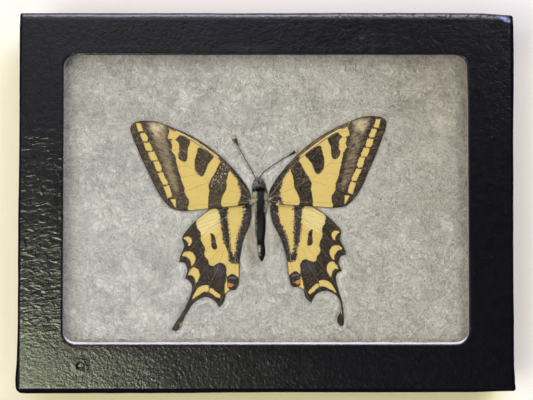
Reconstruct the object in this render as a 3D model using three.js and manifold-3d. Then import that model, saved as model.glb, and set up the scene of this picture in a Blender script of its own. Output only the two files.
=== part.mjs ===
// A spread swallowtail butterfly in a shallow card display box with a glass window.
// Units are millimetres. The box lies on its back: X is its length, Y runs from the butterfly's
// abdomen towards its head, Z points up through the glass. The origin is the middle of the back.
import * as THREE from 'three';
import { mergeVertices } from 'three/addons/utils/BufferGeometryUtils.js';
import Module from 'manifold-3d';

const wasm = await Module();
wasm.setup();

// Box
const BOX_LENGTH = 130;
const BOX_WIDTH = 100;
const BOX_DEPTH = 20;
const CARD = 1.2;
const FIT_GAP = 0.3;
const EDGE_ROUNDING = 0.9;
const EDGE_ROUNDING_STEPS = 3;
const OUTER_CORNER = 1.1;
const INNER_CORNER = 0.4;
const TRAY_CORNER = 0.6;
const TRAY_FOLD = 0.4;
const LID_FOOT_HEIGHT = 0.6;

// Window in the lid and the pane behind it
const WINDOW_LENGTH = 106.7;
const WINDOW_WIDTH = 76.3;
const WINDOW_SHIFT_Y = 1.05;
const WINDOW_CORNER = 3.4;
const WINDOW_EDGE_SLOPE = 0.3;
const GLASS_THICKNESS = 1.8;
const GLASS_ARRIS = 0.15;
const GLASS_CORNER = 0.3;

// Batting: its lumps are two crossed waves, each with a height and radians per millimetre along X and Y
const BATTING_FULL_HEIGHT = 15.45;
const BATTING_EDGE_DROP = 1.6;
const BATTING_EDGE_REACH = 7;
const BROAD_LUMPS = { height: 0.09, alongX: 0.21, alongY: 0.17 };
const FINE_LUMPS = { height: 0.05, alongX: 0.43, alongY: -0.31 };
const WING_BED_DEPTH = 0.85;
const WING_BED_MARGIN = 3;
const WING_BED_REACH = 8;
const ROOT_BED_FACTOR = 1.3;
const BATTING_CELL = 3.5;

// Butterfly: its centre lies on the body's line, level with the wing roots
const BUTTERFLY_CENTRE = [-1.57, -0.75];
const WING_THICKNESS = 0.3;
const FOREWING_HEIGHT = 16.2;
const HINDWING_HEIGHT = 15.5;
const WING_ROOT = [0.5, 0.9];
const ROOT_DIP = 1.1;
const ROOT_DIP_START = 1;
const ROOT_DIP_REACH = 11;
const PLEAT_HEIGHT = 0.05;
const PLEAT_REACH = 8;
const PLEAT_ANGLE = 8;
const FOREWING_FAN = [-40, 80];
const HINDWING_FAN = [-96, 40];
const FAN_RADII = [0.6, 3.5, 7, 11, 42];
const OUTLINE_STEPS = 2;

const CORNER_STEPS = 5;
const LID_UNDERSIDE = BOX_DEPTH - CARD;
const GLASS_TOP = LID_UNDERSIDE - FIT_GAP;
const GLASS_UNDERSIDE = GLASS_TOP - GLASS_THICKNESS;
const TRAY_LENGTH = BOX_LENGTH - 2 * CARD - 2 * FIT_GAP;
const TRAY_WIDTH = BOX_WIDTH - 2 * CARD - 2 * FIT_GAP;
const TRAY_TOP = GLASS_UNDERSIDE - FIT_GAP;
const BATTING_LENGTH = TRAY_LENGTH - 2 * CARD - 2 * FIT_GAP;
const BATTING_WIDTH = TRAY_WIDTH - 2 * CARD - 2 * FIT_GAP;

// Each list runs round the left wing as [outward, forward] from the butterfly's centre.
// The lists are joined at sharp corners and each is a smooth curve through its points.
const FOREWING_OUTLINE = [
  [[2.2, 1.2], [2.8, 3.9], [5.3, 7.7], [10.6, 13.3], [16, 17.3], [22.6, 20.6], [28.8, 22.6], [33.2, 22.3],
    [34.5, 21], [33.2, 16.5], [29.3, 8], [26.6, 2.7], [23.4, -0.7], [20.6, -1.35], [13.3, -0.8], [2.2, 0.4]],
];
const HINDWING_SIDE = [
  [[2.3, 0.2], [5, 1.6], [9.5, 1.5], [13.8, -1.2], [17.8, -4.65], [20.7, -8.5], [20.2, -10.6], [21.2, -13.3],
    [21.5, -14.9]],
  [[21.5, -14.9], [20.1, -15.2], [19.3, -17], [19.9, -19.2]],
];
const HINDWING_INNER = [
  [[10.8, -27], [9.6, -25.5], [9.2, -23.5]],
  [[9.2, -23.5], [8, -22.5], [6.4, -22.2], [5.6, -19.8], [5.4, -14.5], [4.25, -8.6], [2.7, -4.7], [2.2, -1.5]],
];
const LEFT_TAIL = [
  [19.9, -19.2], [19, -19.7], [18.1, -21.2], [18.4, -23.7], [20.3, -27.8], [22.7, -31.5], [23.3, -32.8],
  [22.4, -33.3], [21.1, -32.2], [20, -29.6], [17.7, -25.9], [14.6, -24.2], [12.3, -25], [10.8, -27],
];
const RIGHT_TAIL = [
  [19.9, -19.2], [18.8, -19.5], [18.1, -20.9], [18.4, -23.7], [19.2, -27.4], [19.3, -31], [18.9, -33.9],
  [18.2, -33.9], [17.4, -32.2], [18.6, -30], [18.9, -28], [17.6, -25.4], [15.1, -24.1], [12.5, -24.8], [10.8, -27],
];

// How each wing of the spread pair lies: side -1 is left, and the right pair was set a little higher.
const SPREAD = {
  forewing_left: { side: -1, swing: 0, reach: 1, shift: [0, 0] },
  forewing_right: { side: 1, swing: 2.2, reach: 1, shift: [-0.05, 0.1] },
  hindwing_left: { side: -1, swing: 0, reach: 1, shift: [0, 0] },
  hindwing_right: { side: 1, swing: 5.3, reach: 0.985, shift: [0.49, -0.3] },
};

// Body sections from the head to the tip: [forward, across, height, half width, half thickness]
const BODY_SECTIONS = [
  [7.2, -0.4, 14.2, 0.35, 0.35], [6.6, -0.4, 14.2, 1.05, 0.95], [5.7, -0.35, 14.2, 1.4, 1.25],
  [4.8, -0.25, 14.1, 1.1, 1.05], [4.4, -0.15, 14, 0.9, 0.9], [3.8, 0, 13.8, 1.4, 1.5],
  [2.6, 0.1, 13.7, 1.75, 2.2], [0.9, 0.15, 13.6, 1.85, 2.5], [-0.9, 0.2, 13.7, 1.6, 2.1],
  [-2.3, 0.2, 13.8, 1.1, 1.35], [-4, 0.2, 13.8, 1.25, 1.4], [-6.5, 0.15, 13.7, 1.25, 1.35],
  [-9.2, 0.05, 13.7, 0.9, 1], [-10.4, 0.15, 13.7, 0.85, 0.85], [-12, 0.5, 13.75, 1.1, 0.95],
  [-13.5, 0.6, 13.75, 0.7, 0.7], [-14.7, 0.5, 13.75, 0.2, 0.2],
];
const BODY_POCKET_SECTIONS = [
  [8, -0.3, 14.4, 0.8, 1], [7, -0.3, 14.2, 2.2, 2.4], [4.6, 0, 14, 3, 3.6], [1, 0.1, 14, 3.7, 4.4],
  [-2, 0.1, 14, 3, 3.4], [-4.5, 0.1, 14, 2.1, 2.3], [-9, 0.1, 14, 1.9, 1.9], [-13, 0.5, 14, 1.8, 1.8],
  [-15.3, 0.5, 14, 0.8, 1],
];
const BODY_SIDES = 10;
const HEAD_ACROSS = -0.4;
const HEAD_HEIGHT = 14.3;
const EYE_RADIUS = 0.75;
const EYE_OUT = 1.15;
const EYE_FORWARD = 5.9;
const EYE_SIDES = 8;
const EYE_RINGS = 6;
const LEG_RADIUS = 0.2;
const LEG_SIDES = 5;
const LEG_STEPS = 6;
const LEG_PATHS = [
  [[0.7, 3.1, 12.4], [2, 4.2, 11.9], [1.5, 2.7, 10.9], [0.7, 0.8, 10.6]],
  [[0.9, 1.4, 11.7], [2.4, 1.9, 11.7], [1.9, 0.3, 11.2], [0.9, -1.2, 11.2]],
  [[0.8, -0.4, 12.1], [2, -0.7, 11.9], [1.6, -2, 11.8], [0.7, -3.1, 12.1]],
];

const ANTENNA_RADIUS = 0.12;
const CLUB_OVERLAP = 0.15;
const ANTENNA_CLUB = [[0, 0], [0.14, 0], [0.22, 0.5], [0.34, 1.1], [0.32, 1.6], [0.14, 2], [0, 2.05]];
const ANTENNA_SIDES = 6;
const ANTENNA_STEPS = 12;
const ANTENNA_PATHS = {
  antenna_left: [[-1.1, 7.2, 15.25], [-2.6, 10.1, 15.9], [-4.4, 13.3, 16.15], [-6, 16.4, 16.15]],
  antenna_right: [[-0.3, 7.2, 15.25], [0.8, 8.8, 15.75], [4.7, 11.6, 16.15], [8.3, 13.8, 16.15]],
};

const MERGE_DISTANCE = 1e-4;

// ---------------------------------------------------------------- shared shape functions

function roundedRectangle(length, width, radius, shiftY) {
  const points = [];
  const corners = [[1, 1], [-1, 1], [-1, -1], [1, -1]];
  corners.forEach(([signX, signY], corner) => {
    for (let step = 0; step <= CORNER_STEPS; step += 1) {
      const angle = (corner + step / CORNER_STEPS) * Math.PI / 2;
      points.push([
        signX * (length / 2 - radius) + radius * Math.cos(angle),
        signY * (width / 2 - radius) + radius * Math.sin(angle) + shiftY,
      ]);
    }
  });
  return points;
}

function ring(length, width, radius, shiftY, z) {
  return roundedRectangle(length, width, radius, shiftY).map(([x, y]) => [x, y, z]);
}

function meshGeometry(positions, triangles) {
  const geometry = new THREE.BufferGeometry();
  geometry.setAttribute('position', new THREE.Float32BufferAttribute(positions.flat(), 3));
  geometry.setIndex(triangles.flat());
  return geometry;
}

// Skins equal rings of points. The rings either close on themselves or end in flat caps.
function loft(rings, closesOnItself) {
  const count = rings[0].length;
  const triangles = [];
  const spans = closesOnItself ? rings.length : rings.length - 1;
  for (let i = 0; i < spans; i += 1) {
    const lower = i * count;
    const upper = ((i + 1) % rings.length) * count;
    for (let j = 0; j < count; j += 1) {
      const next = (j + 1) % count;
      triangles.push([lower + j, lower + next, upper + next], [lower + j, upper + next, upper + j]);
    }
  }
  if (!closesOnItself) {
    const last = (rings.length - 1) * count;
    for (let j = 1; j < count - 1; j += 1) {
      triangles.push([0, j + 1, j], [last, last + j, last + j + 1]);
    }
  }
  return meshGeometry(rings.flat(), triangles);
}

function toSolid(source) {
  const geometry = source.clone();
  geometry.deleteAttribute('normal');
  geometry.deleteAttribute('uv');
  const merged = mergeVertices(geometry, MERGE_DISTANCE);
  return new wasm.Manifold(new wasm.Mesh({
    numProp: 3,
    vertProperties: new Float32Array(merged.attributes.position.array),
    triVerts: new Uint32Array(merged.index.array),
  }));
}

function toGeometry(solid) {
  const mesh = solid.getMesh();
  const geometry = new THREE.BufferGeometry();
  geometry.setAttribute('position', new THREE.BufferAttribute(mesh.vertProperties, 3));
  geometry.setIndex(new THREE.BufferAttribute(mesh.triVerts, 1));
  return geometry;
}

function smoothStep(value, low, high) {
  const t = Math.min(1, Math.max(0, (value - low) / (high - low)));
  return t * t * (3 - 2 * t);
}

// ---------------------------------------------------------------- box

function lidGeometry() {
  const rings = [ring(BOX_LENGTH, BOX_WIDTH, OUTER_CORNER, 0, LID_FOOT_HEIGHT)];
  for (let step = 0; step <= EDGE_ROUNDING_STEPS; step += 1) {
    const angle = step / EDGE_ROUNDING_STEPS * Math.PI / 2;
    const inset = EDGE_ROUNDING * (1 - Math.cos(angle));
    const z = BOX_DEPTH - EDGE_ROUNDING * (1 - Math.sin(angle));
    rings.push(ring(BOX_LENGTH - 2 * inset, BOX_WIDTH - 2 * inset, OUTER_CORNER, 0, z));
  }
  const slope = 2 * WINDOW_EDGE_SLOPE;
  rings.push(ring(WINDOW_LENGTH, WINDOW_WIDTH, WINDOW_CORNER, WINDOW_SHIFT_Y, BOX_DEPTH));
  rings.push(ring(WINDOW_LENGTH - slope, WINDOW_WIDTH - slope, WINDOW_CORNER, WINDOW_SHIFT_Y, LID_UNDERSIDE));
  const innerLength = BOX_LENGTH - 2 * CARD;
  const innerWidth = BOX_WIDTH - 2 * CARD;
  rings.push(ring(innerLength, innerWidth, INNER_CORNER, 0, LID_UNDERSIDE));
  rings.push(ring(innerLength, innerWidth, INNER_CORNER, 0, LID_FOOT_HEIGHT));
  return loft(rings, true);
}

function glassGeometry() {
  const faceLength = TRAY_LENGTH - 2 * GLASS_ARRIS;
  const faceWidth = TRAY_WIDTH - 2 * GLASS_ARRIS;
  return loft([
    ring(faceLength, faceWidth, GLASS_CORNER, 0, GLASS_UNDERSIDE),
    ring(TRAY_LENGTH, TRAY_WIDTH, GLASS_CORNER, 0, GLASS_UNDERSIDE + GLASS_ARRIS),
    ring(TRAY_LENGTH, TRAY_WIDTH, GLASS_CORNER, 0, GLASS_TOP - GLASS_ARRIS),
    ring(faceLength, faceWidth, GLASS_CORNER, 0, GLASS_TOP),
  ], false);
}

function trayGeometry() {
  const innerLength = TRAY_LENGTH - 2 * CARD;
  const innerWidth = TRAY_WIDTH - 2 * CARD;
  return loft([
    ring(TRAY_LENGTH - 2 * TRAY_FOLD, TRAY_WIDTH - 2 * TRAY_FOLD, TRAY_CORNER, 0, 0),
    ring(TRAY_LENGTH, TRAY_WIDTH, TRAY_CORNER, 0, TRAY_FOLD),
    ring(TRAY_LENGTH, TRAY_WIDTH, TRAY_CORNER, 0, TRAY_TOP),
    ring(innerLength, innerWidth, INNER_CORNER, 0, TRAY_TOP),
    ring(innerLength, innerWidth, INNER_CORNER, 0, CARD),
  ], false);
}

// ---------------------------------------------------------------- wings

function smoothOutline(stretches, stepsPerSpan) {
  const outline = [];
  stretches.forEach((stretch) => {
    const curve = new THREE.CatmullRomCurve3(stretch.map(([u, v]) => new THREE.Vector3(u, v, 0)));
    const points = curve.getPoints((stretch.length - 1) * stepsPerSpan);
    points.pop();
    points.forEach((point) => outline.push([point.x, point.y]));
  });
  const end = stretches[stretches.length - 1];
  outline.push(end[end.length - 1]);
  return outline;
}

// Swings, shortens, shifts and mirrors a point of the left wing to where the named wing lies.
function spreadPoint([u, v], name) {
  const { side, swing, reach, shift } = SPREAD[name];
  const angle = THREE.MathUtils.degToRad(swing);
  const outward = reach * (u * Math.cos(angle) - v * Math.sin(angle)) + shift[0];
  const forward = reach * (u * Math.sin(angle) + v * Math.cos(angle)) + shift[1];
  return [side * outward, forward];
}

function wingOutline(name) {
  const tail = name === 'hindwing_left' ? LEFT_TAIL : RIGHT_TAIL;
  const stretches = name.startsWith('forewing')
    ? FOREWING_OUTLINE
    : [...HINDWING_SIDE, tail, ...HINDWING_INNER];
  return smoothOutline(stretches, OUTLINE_STEPS).map((point) => spreadPoint(point, name));
}

function rootDip(distance) {
  return ROOT_DIP * (1 - smoothStep(distance, ROOT_DIP_START, ROOT_DIP_REACH));
}

// A pleated fan of membrane between two bearings from the wing root: its rays are ridges and
// valleys by turns, and the whole fan dips towards the thorax.
function wingFan(name, height, [fromAngle, toAngle]) {
  const layers = [-WING_THICKNESS / 2, WING_THICKNESS / 2];
  const angles = rayAngles(fromAngle, toAngle);
  const radii = FAN_RADII;
  const positions = [];
  layers.forEach((offset) => {
    angles.forEach((degrees, ray) => {
      const angle = THREE.MathUtils.degToRad(degrees);
      radii.forEach((radius) => {
        const u = WING_ROOT[0] + radius * Math.cos(angle);
        const v = WING_ROOT[1] + radius * Math.sin(angle);
        const pleat = (ray % 2 === 0 ? 1 : -1) * PLEAT_HEIGHT * smoothStep(radius, 0, PLEAT_REACH);
        positions.push([...spreadPoint([u, v], name), height - rootDip(radius) + pleat + offset]);
      });
    });
  });
  const layerSize = angles.length * radii.length;
  const triangles = [];
  const quad = (a, b, c, d) => triangles.push([a, b, c], [a, c, d]);
  for (let ray = 0; ray < angles.length - 1; ray += 1) {
    for (let step = 0; step < radii.length - 1; step += 1) {
      const a = ray * radii.length + step;
      const b = a + radii.length;
      quad(layerSize + a, layerSize + a + 1, layerSize + b + 1, layerSize + b);
      quad(a, b, b + 1, a + 1);
    }
    const inner = ray * radii.length;
    const outer = inner + radii.length - 1;
    quad(inner, layerSize + inner, layerSize + inner + radii.length, inner + radii.length);
    quad(outer, outer + radii.length, layerSize + outer + radii.length, layerSize + outer);
  }
  for (let step = 0; step < radii.length - 1; step += 1) {
    const last = (angles.length - 1) * radii.length + step;
    quad(step, step + 1, layerSize + step + 1, layerSize + step);
    quad(last, layerSize + last, layerSize + last + 1, last + 1);
  }
  if (SPREAD[name].side < 0) {
    triangles.forEach((triangle) => triangle.reverse());
  }
  return toSolid(meshGeometry(positions, triangles));
}

function outlinePrism(outline) {
  const shape = new THREE.Shape(outline.map(([x, y]) => new THREE.Vector2(x, y)));
  const prism = new THREE.ExtrudeGeometry(shape, { depth: BOX_DEPTH, bevelEnabled: false });
  return toSolid(prism);
}

function rayAngles(from, to) {
  const angles = [];
  for (let angle = from; angle <= to; angle += PLEAT_ANGLE) {
    angles.push(angle);
  }
  return angles;
}

function wingGeometry(name) {
  const fan = name.startsWith('forewing')
    ? wingFan(name, FOREWING_HEIGHT, FOREWING_FAN)
    : wingFan(name, HINDWING_HEIGHT, HINDWING_FAN);
  return toGeometry(fan.intersect(outlinePrism(wingOutline(name))));
}

// ---------------------------------------------------------------- body and antennae

// Skins elliptical sections along the body. Sections follow each other from head to tip.
function bodyLoft(sections) {
  const rings = sections.map(([forward, across, height, halfWidth, halfThickness]) => {
    const points = [];
    for (let side = 0; side < BODY_SIDES; side += 1) {
      const angle = side / BODY_SIDES * 2 * Math.PI;
      points.push([across + halfWidth * Math.cos(angle), forward, height + halfThickness * Math.sin(angle)]);
    }
    return points;
  });
  return toSolid(loft(rings, false));
}

function tubeGeometry(points, radius, sides, steps) {
  const section = new THREE.Shape();
  for (let side = 0; side < sides; side += 1) {
    const angle = side / sides * 2 * Math.PI;
    const [x, y] = [radius * Math.cos(angle), radius * Math.sin(angle)];
    if (side === 0) {
      section.moveTo(x, y);
    } else {
      section.lineTo(x, y);
    }
  }
  const path = new THREE.CatmullRomCurve3(points.map((point) => new THREE.Vector3(...point)));
  return new THREE.ExtrudeGeometry(section, { steps, extrudePath: path, bevelEnabled: false });
}

function bodyGeometry() {
  let body = bodyLoft(BODY_SECTIONS);
  [-1, 1].forEach((side) => {
    const eye = new THREE.SphereGeometry(EYE_RADIUS, EYE_SIDES, EYE_RINGS);
    eye.translate(HEAD_ACROSS + side * EYE_OUT, EYE_FORWARD, HEAD_HEIGHT);
    body = body.add(toSolid(eye));
    LEG_PATHS.forEach((path) => {
      const points = path.map(([x, y, z]) => [side * x, y, z]);
      body = body.add(toSolid(tubeGeometry(points, LEG_RADIUS, LEG_SIDES, LEG_STEPS)));
    });
  });
  return toGeometry(body);
}

function antennaGeometry(points) {
  const shaft = toSolid(tubeGeometry(points, ANTENNA_RADIUS, ANTENNA_SIDES, ANTENNA_STEPS));
  const profile = ANTENNA_CLUB.map(([x, y]) => new THREE.Vector2(x, y));
  const club = new THREE.LatheGeometry(profile, ANTENNA_SIDES);
  const tip = new THREE.Vector3(...points[points.length - 1]);
  const before = new THREE.Vector3(...points[points.length - 2]);
  const direction = tip.clone().sub(before).normalize();
  const turn = new THREE.Quaternion().setFromUnitVectors(new THREE.Vector3(0, 1, 0), direction);
  club.applyQuaternion(turn);
  const start = tip.addScaledVector(direction, -CLUB_OVERLAP);
  club.translate(start.x, start.y, start.z);
  return toGeometry(shaft.add(toSolid(club)));
}

// ---------------------------------------------------------------- batting

function distanceToOutline([x, y], outline) {
  let inside = false;
  let nearest = Infinity;
  outline.forEach(([ax, ay], index) => {
    const [bx, by] = outline[(index + 1) % outline.length];
    if ((ay > y) !== (by > y) && x < (bx - ax) * (y - ay) / (by - ay) + ax) {
      inside = !inside;
    }
    const along = ((x - ax) * (bx - ax) + (y - ay) * (by - ay)) / ((bx - ax) ** 2 + (by - ay) ** 2);
    const t = Math.min(1, Math.max(0, along || 0));
    nearest = Math.min(nearest, Math.hypot(x - ax - t * (bx - ax), y - ay - t * (by - ay)));
  });
  return inside ? -nearest : nearest;
}

// The pad's upper face: gently lumpy, rounded down at the tray's walls, bedded under the wings.
function battingHeight(x, y, outlines) {
  const broad = BROAD_LUMPS.height * Math.sin(BROAD_LUMPS.alongX * x) * Math.cos(BROAD_LUMPS.alongY * y);
  const fine = FINE_LUMPS.height * Math.sin(FINE_LUMPS.alongX * x + FINE_LUMPS.alongY * y);
  const fromWall = Math.min(BATTING_LENGTH / 2 - Math.abs(x), BATTING_WIDTH / 2 - Math.abs(y));
  const drop = BATTING_EDGE_DROP * (1 - smoothStep(fromWall, 0, BATTING_EDGE_REACH));
  const local = [x - BUTTERFLY_CENTRE[0], y - BUTTERFLY_CENTRE[1]];
  const toWing = Math.min(...outlines.map((outline) => distanceToOutline(local, outline)));
  const bed = 1 - smoothStep(toWing, WING_BED_MARGIN, WING_BED_REACH);
  const rootDistance = Math.hypot(local[0], local[1] - WING_ROOT[1]);
  const bedDepth = WING_BED_DEPTH + ROOT_BED_FACTOR * rootDip(rootDistance);
  return BATTING_FULL_HEIGHT + broad + fine - drop - bed * bedDepth;
}

function evenLines(span) {
  const count = Math.round(span / BATTING_CELL);
  return Array.from({ length: count + 1 }, (_, index) => span * (index / count - 0.5));
}

function battingGeometry(outlines) {
  const xs = evenLines(BATTING_LENGTH);
  const ys = evenLines(BATTING_WIDTH);
  const floor = CARD + FIT_GAP;
  const positions = [];
  ys.forEach((y) => xs.forEach((x) => positions.push([x, y, battingHeight(x, y, outlines)])));
  const topCount = positions.length;
  const triangles = [];
  for (let row = 0; row < ys.length - 1; row += 1) {
    for (let column = 0; column < xs.length - 1; column += 1) {
      const a = row * xs.length + column;
      const b = a + xs.length;
      triangles.push([a, a + 1, b + 1], [a, b + 1, b]);
    }
  }
  const rim = [];
  xs.forEach((_, column) => rim.push(column));
  ys.slice(1).forEach((_, row) => rim.push((row + 2) * xs.length - 1));
  xs.slice(1).forEach((_, column) => rim.push(ys.length * xs.length - 2 - column));
  ys.slice(2).forEach((_, row) => rim.push((ys.length - 2 - row) * xs.length));
  rim.forEach((index) => positions.push([positions[index][0], positions[index][1], floor]));
  positions.push([0, 0, floor]);
  const centre = positions.length - 1;
  rim.forEach((index, place) => {
    const next = (place + 1) % rim.length;
    const low = topCount + place;
    const lowNext = topCount + next;
    triangles.push([low, lowNext, rim[next]], [low, rim[next], index], [centre, lowNext, low]);
  });
  const pocket = bodyLoft(BODY_POCKET_SECTIONS).translate([...BUTTERFLY_CENTRE, 0]);
  return toGeometry(toSolid(meshGeometry(positions, triangles)).subtract(pocket));
}

// ---------------------------------------------------------------- assembly

function material(colour, roughness, extra = {}) {
  return new THREE.MeshStandardMaterial({ color: colour, roughness, metalness: 0, ...extra });
}

function piece(name, geometry, surface) {
  const mesh = new THREE.Mesh(geometry, surface);
  mesh.name = name;
  return mesh;
}

const wingNames = Object.keys(SPREAD);
const outlines = wingNames.map(wingOutline);

const box = new THREE.Group();
box.add(piece('tray', trayGeometry(), material('#1a191c', 0.6)));
box.add(piece('batting', battingGeometry(outlines), material('#c3c4be', 0.95)));
box.add(piece('glass', glassGeometry(), material('#e9f1ee', 0.05, { transparent: true, opacity: 0.2 })));
box.add(piece('lid', lidGeometry(), material('#1d1c1f', 0.45)));

const butterfly = new THREE.Group();
butterfly.position.set(...BUTTERFLY_CENTRE, 0);
butterfly.add(piece('body', bodyGeometry(), material('#3b342e', 0.9)));
wingNames.forEach((name) => {
  const colour = name.startsWith('forewing') ? '#d8bd78' : '#dcc47f';
  butterfly.add(piece(name, wingGeometry(name), material(colour, 0.8)));
});
Object.entries(ANTENNA_PATHS).forEach(([name, path]) => {
  butterfly.add(piece(name, antennaGeometry(path), material('#2b221c', 0.6)));
});

const specimen = new THREE.Group();
specimen.add(box, butterfly);

export default specimen;
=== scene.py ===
import bpy
import numpy as np
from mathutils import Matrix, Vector


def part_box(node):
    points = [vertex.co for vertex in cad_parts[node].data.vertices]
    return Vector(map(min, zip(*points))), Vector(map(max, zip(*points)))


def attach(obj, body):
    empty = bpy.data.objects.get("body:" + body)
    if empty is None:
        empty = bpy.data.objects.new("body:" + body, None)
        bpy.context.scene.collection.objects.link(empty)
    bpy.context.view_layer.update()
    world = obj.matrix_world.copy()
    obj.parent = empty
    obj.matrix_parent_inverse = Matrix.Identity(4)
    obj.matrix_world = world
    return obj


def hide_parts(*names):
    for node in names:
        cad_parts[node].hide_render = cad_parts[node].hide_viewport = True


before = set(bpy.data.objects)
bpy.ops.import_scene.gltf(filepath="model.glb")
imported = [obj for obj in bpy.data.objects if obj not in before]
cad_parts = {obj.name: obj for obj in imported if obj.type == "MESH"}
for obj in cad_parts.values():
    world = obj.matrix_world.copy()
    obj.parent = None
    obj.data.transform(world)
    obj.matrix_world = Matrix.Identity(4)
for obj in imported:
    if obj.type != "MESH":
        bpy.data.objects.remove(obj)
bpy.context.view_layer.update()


# ---------------------------------------------------------------- camera, floor and light
# The box lies on its back on a pale table top, lit by a large soft window high to its upper right and seen
# almost straight from above. The ceiling is dark but for its lower left, where a panel shines on the black
# paper. Two more shine on the box's upper edge and border, and a weak one fills the shadows from the left.
MM = 0.001
CAMERA_PLACE = (0.17, -5.87, 300.4)
CAMERA_TARGET = (0.17, 0.74, 20)
CAMERA_LENS = 72
CAMERA_SENSOR = 36
FLOOR_SIZE = 3000
FLOOR_DROP = 0.02
FLOOR_ROUGHNESS = 0.7
FLOOR_CREAM = "#eae6c5"
FLOOR_GREY = "#e9e6dc"
FLOOR_LILAC = "#d4d1d2"
FLOOR_PAINTED_SHADOW = "#d8d3a0"
# Where the floor's painted light comes in: painted tints of grey across it and lilac up it, and a yellow
# painted shadow below the box.
GREY_FADE = (-80, 70)
LILAC_FADE = (35, 55)
LILAC_SHARE = 0.8
PAINTED_SHADOW_PATCH = {"top": (-48, -54), "foot": (-80, -62), "sides": (72, 60)}
WINDOW_PANEL = {"turn": 50, "height": 47, "away": 1400, "size": 700, "power": 13, "tint": "#fffafa"}
SHEEN_PANEL = {"turn": 223, "height": 62.7, "away": 1000, "size": 260, "power": 6.8, "tint": "#f8ffd4"}
EDGE_PANEL = {"turn": 92, "height": 32, "away": 1000, "size": 660, "power": 27, "tint": "#e8e6ff"}
GRAIN_PANEL = {"turn": 108, "height": 63, "away": 1000, "size": 440, "power": 1.4, "tint": "#eeeef6"}
FILL_PANEL = {"turn": 190, "height": 60, "away": 700, "size": 420, "power": 2.8, "tint": "#fff8ee"}
AMBIENT_COLOUR = "#f4f4ff"
AMBIENT_STRENGTH = 1.03
ZENITH_STRENGTH = 0.03
ZENITH_TILT = (-0.8, -0.6)
ZENITH_FADE = (0.42, 0.66)
SHEEN_FADE = (0.34, 0.02)


def colour(code):
    """A colour code such as #aabbcc as linear red, green, blue and a full alpha."""
    parts = np.array([int(code[i:i + 2], 16) for i in (1, 3, 5)]) / 255
    linear = np.where(parts <= 0.04045, parts / 12.92, ((parts + 0.055) / 1.055) ** 2.4)
    return (*linear.tolist(), 1.0)


class Wire:
    """An output socket in a finish's node tree. Each operator on a wire adds one Math node."""

    def __init__(self, finish, socket):
        self.finish = finish
        self.socket = socket

    def math(self, operation, *terms):
        return self.finish.node("ShaderNodeMath", {"operation": operation}, dict(enumerate(terms)))

    def __add__(self, other):
        return self.math("ADD", self, other)

    def __radd__(self, other):
        return self.math("ADD", other, self)

    def __sub__(self, other):
        return self.math("SUBTRACT", self, other)

    def __rsub__(self, other):
        return self.math("SUBTRACT", other, self)

    def __mul__(self, other):
        return self.math("MULTIPLY", self, other)

    def __rmul__(self, other):
        return self.math("MULTIPLY", other, self)

    def __abs__(self):
        return self.math("ABSOLUTE", self)

    def most(self, other):
        return self.math("MAXIMUM", self, other)

    def ramp(self, low, high):
        """0 at low, 1 at high and a smooth step between. low may be the larger of the two."""
        inputs = {"Value": self, "From Min": low, "From Max": high}
        return self.finish.node("ShaderNodeMapRange", {"interpolation_type": "SMOOTHSTEP"}, inputs)


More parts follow.
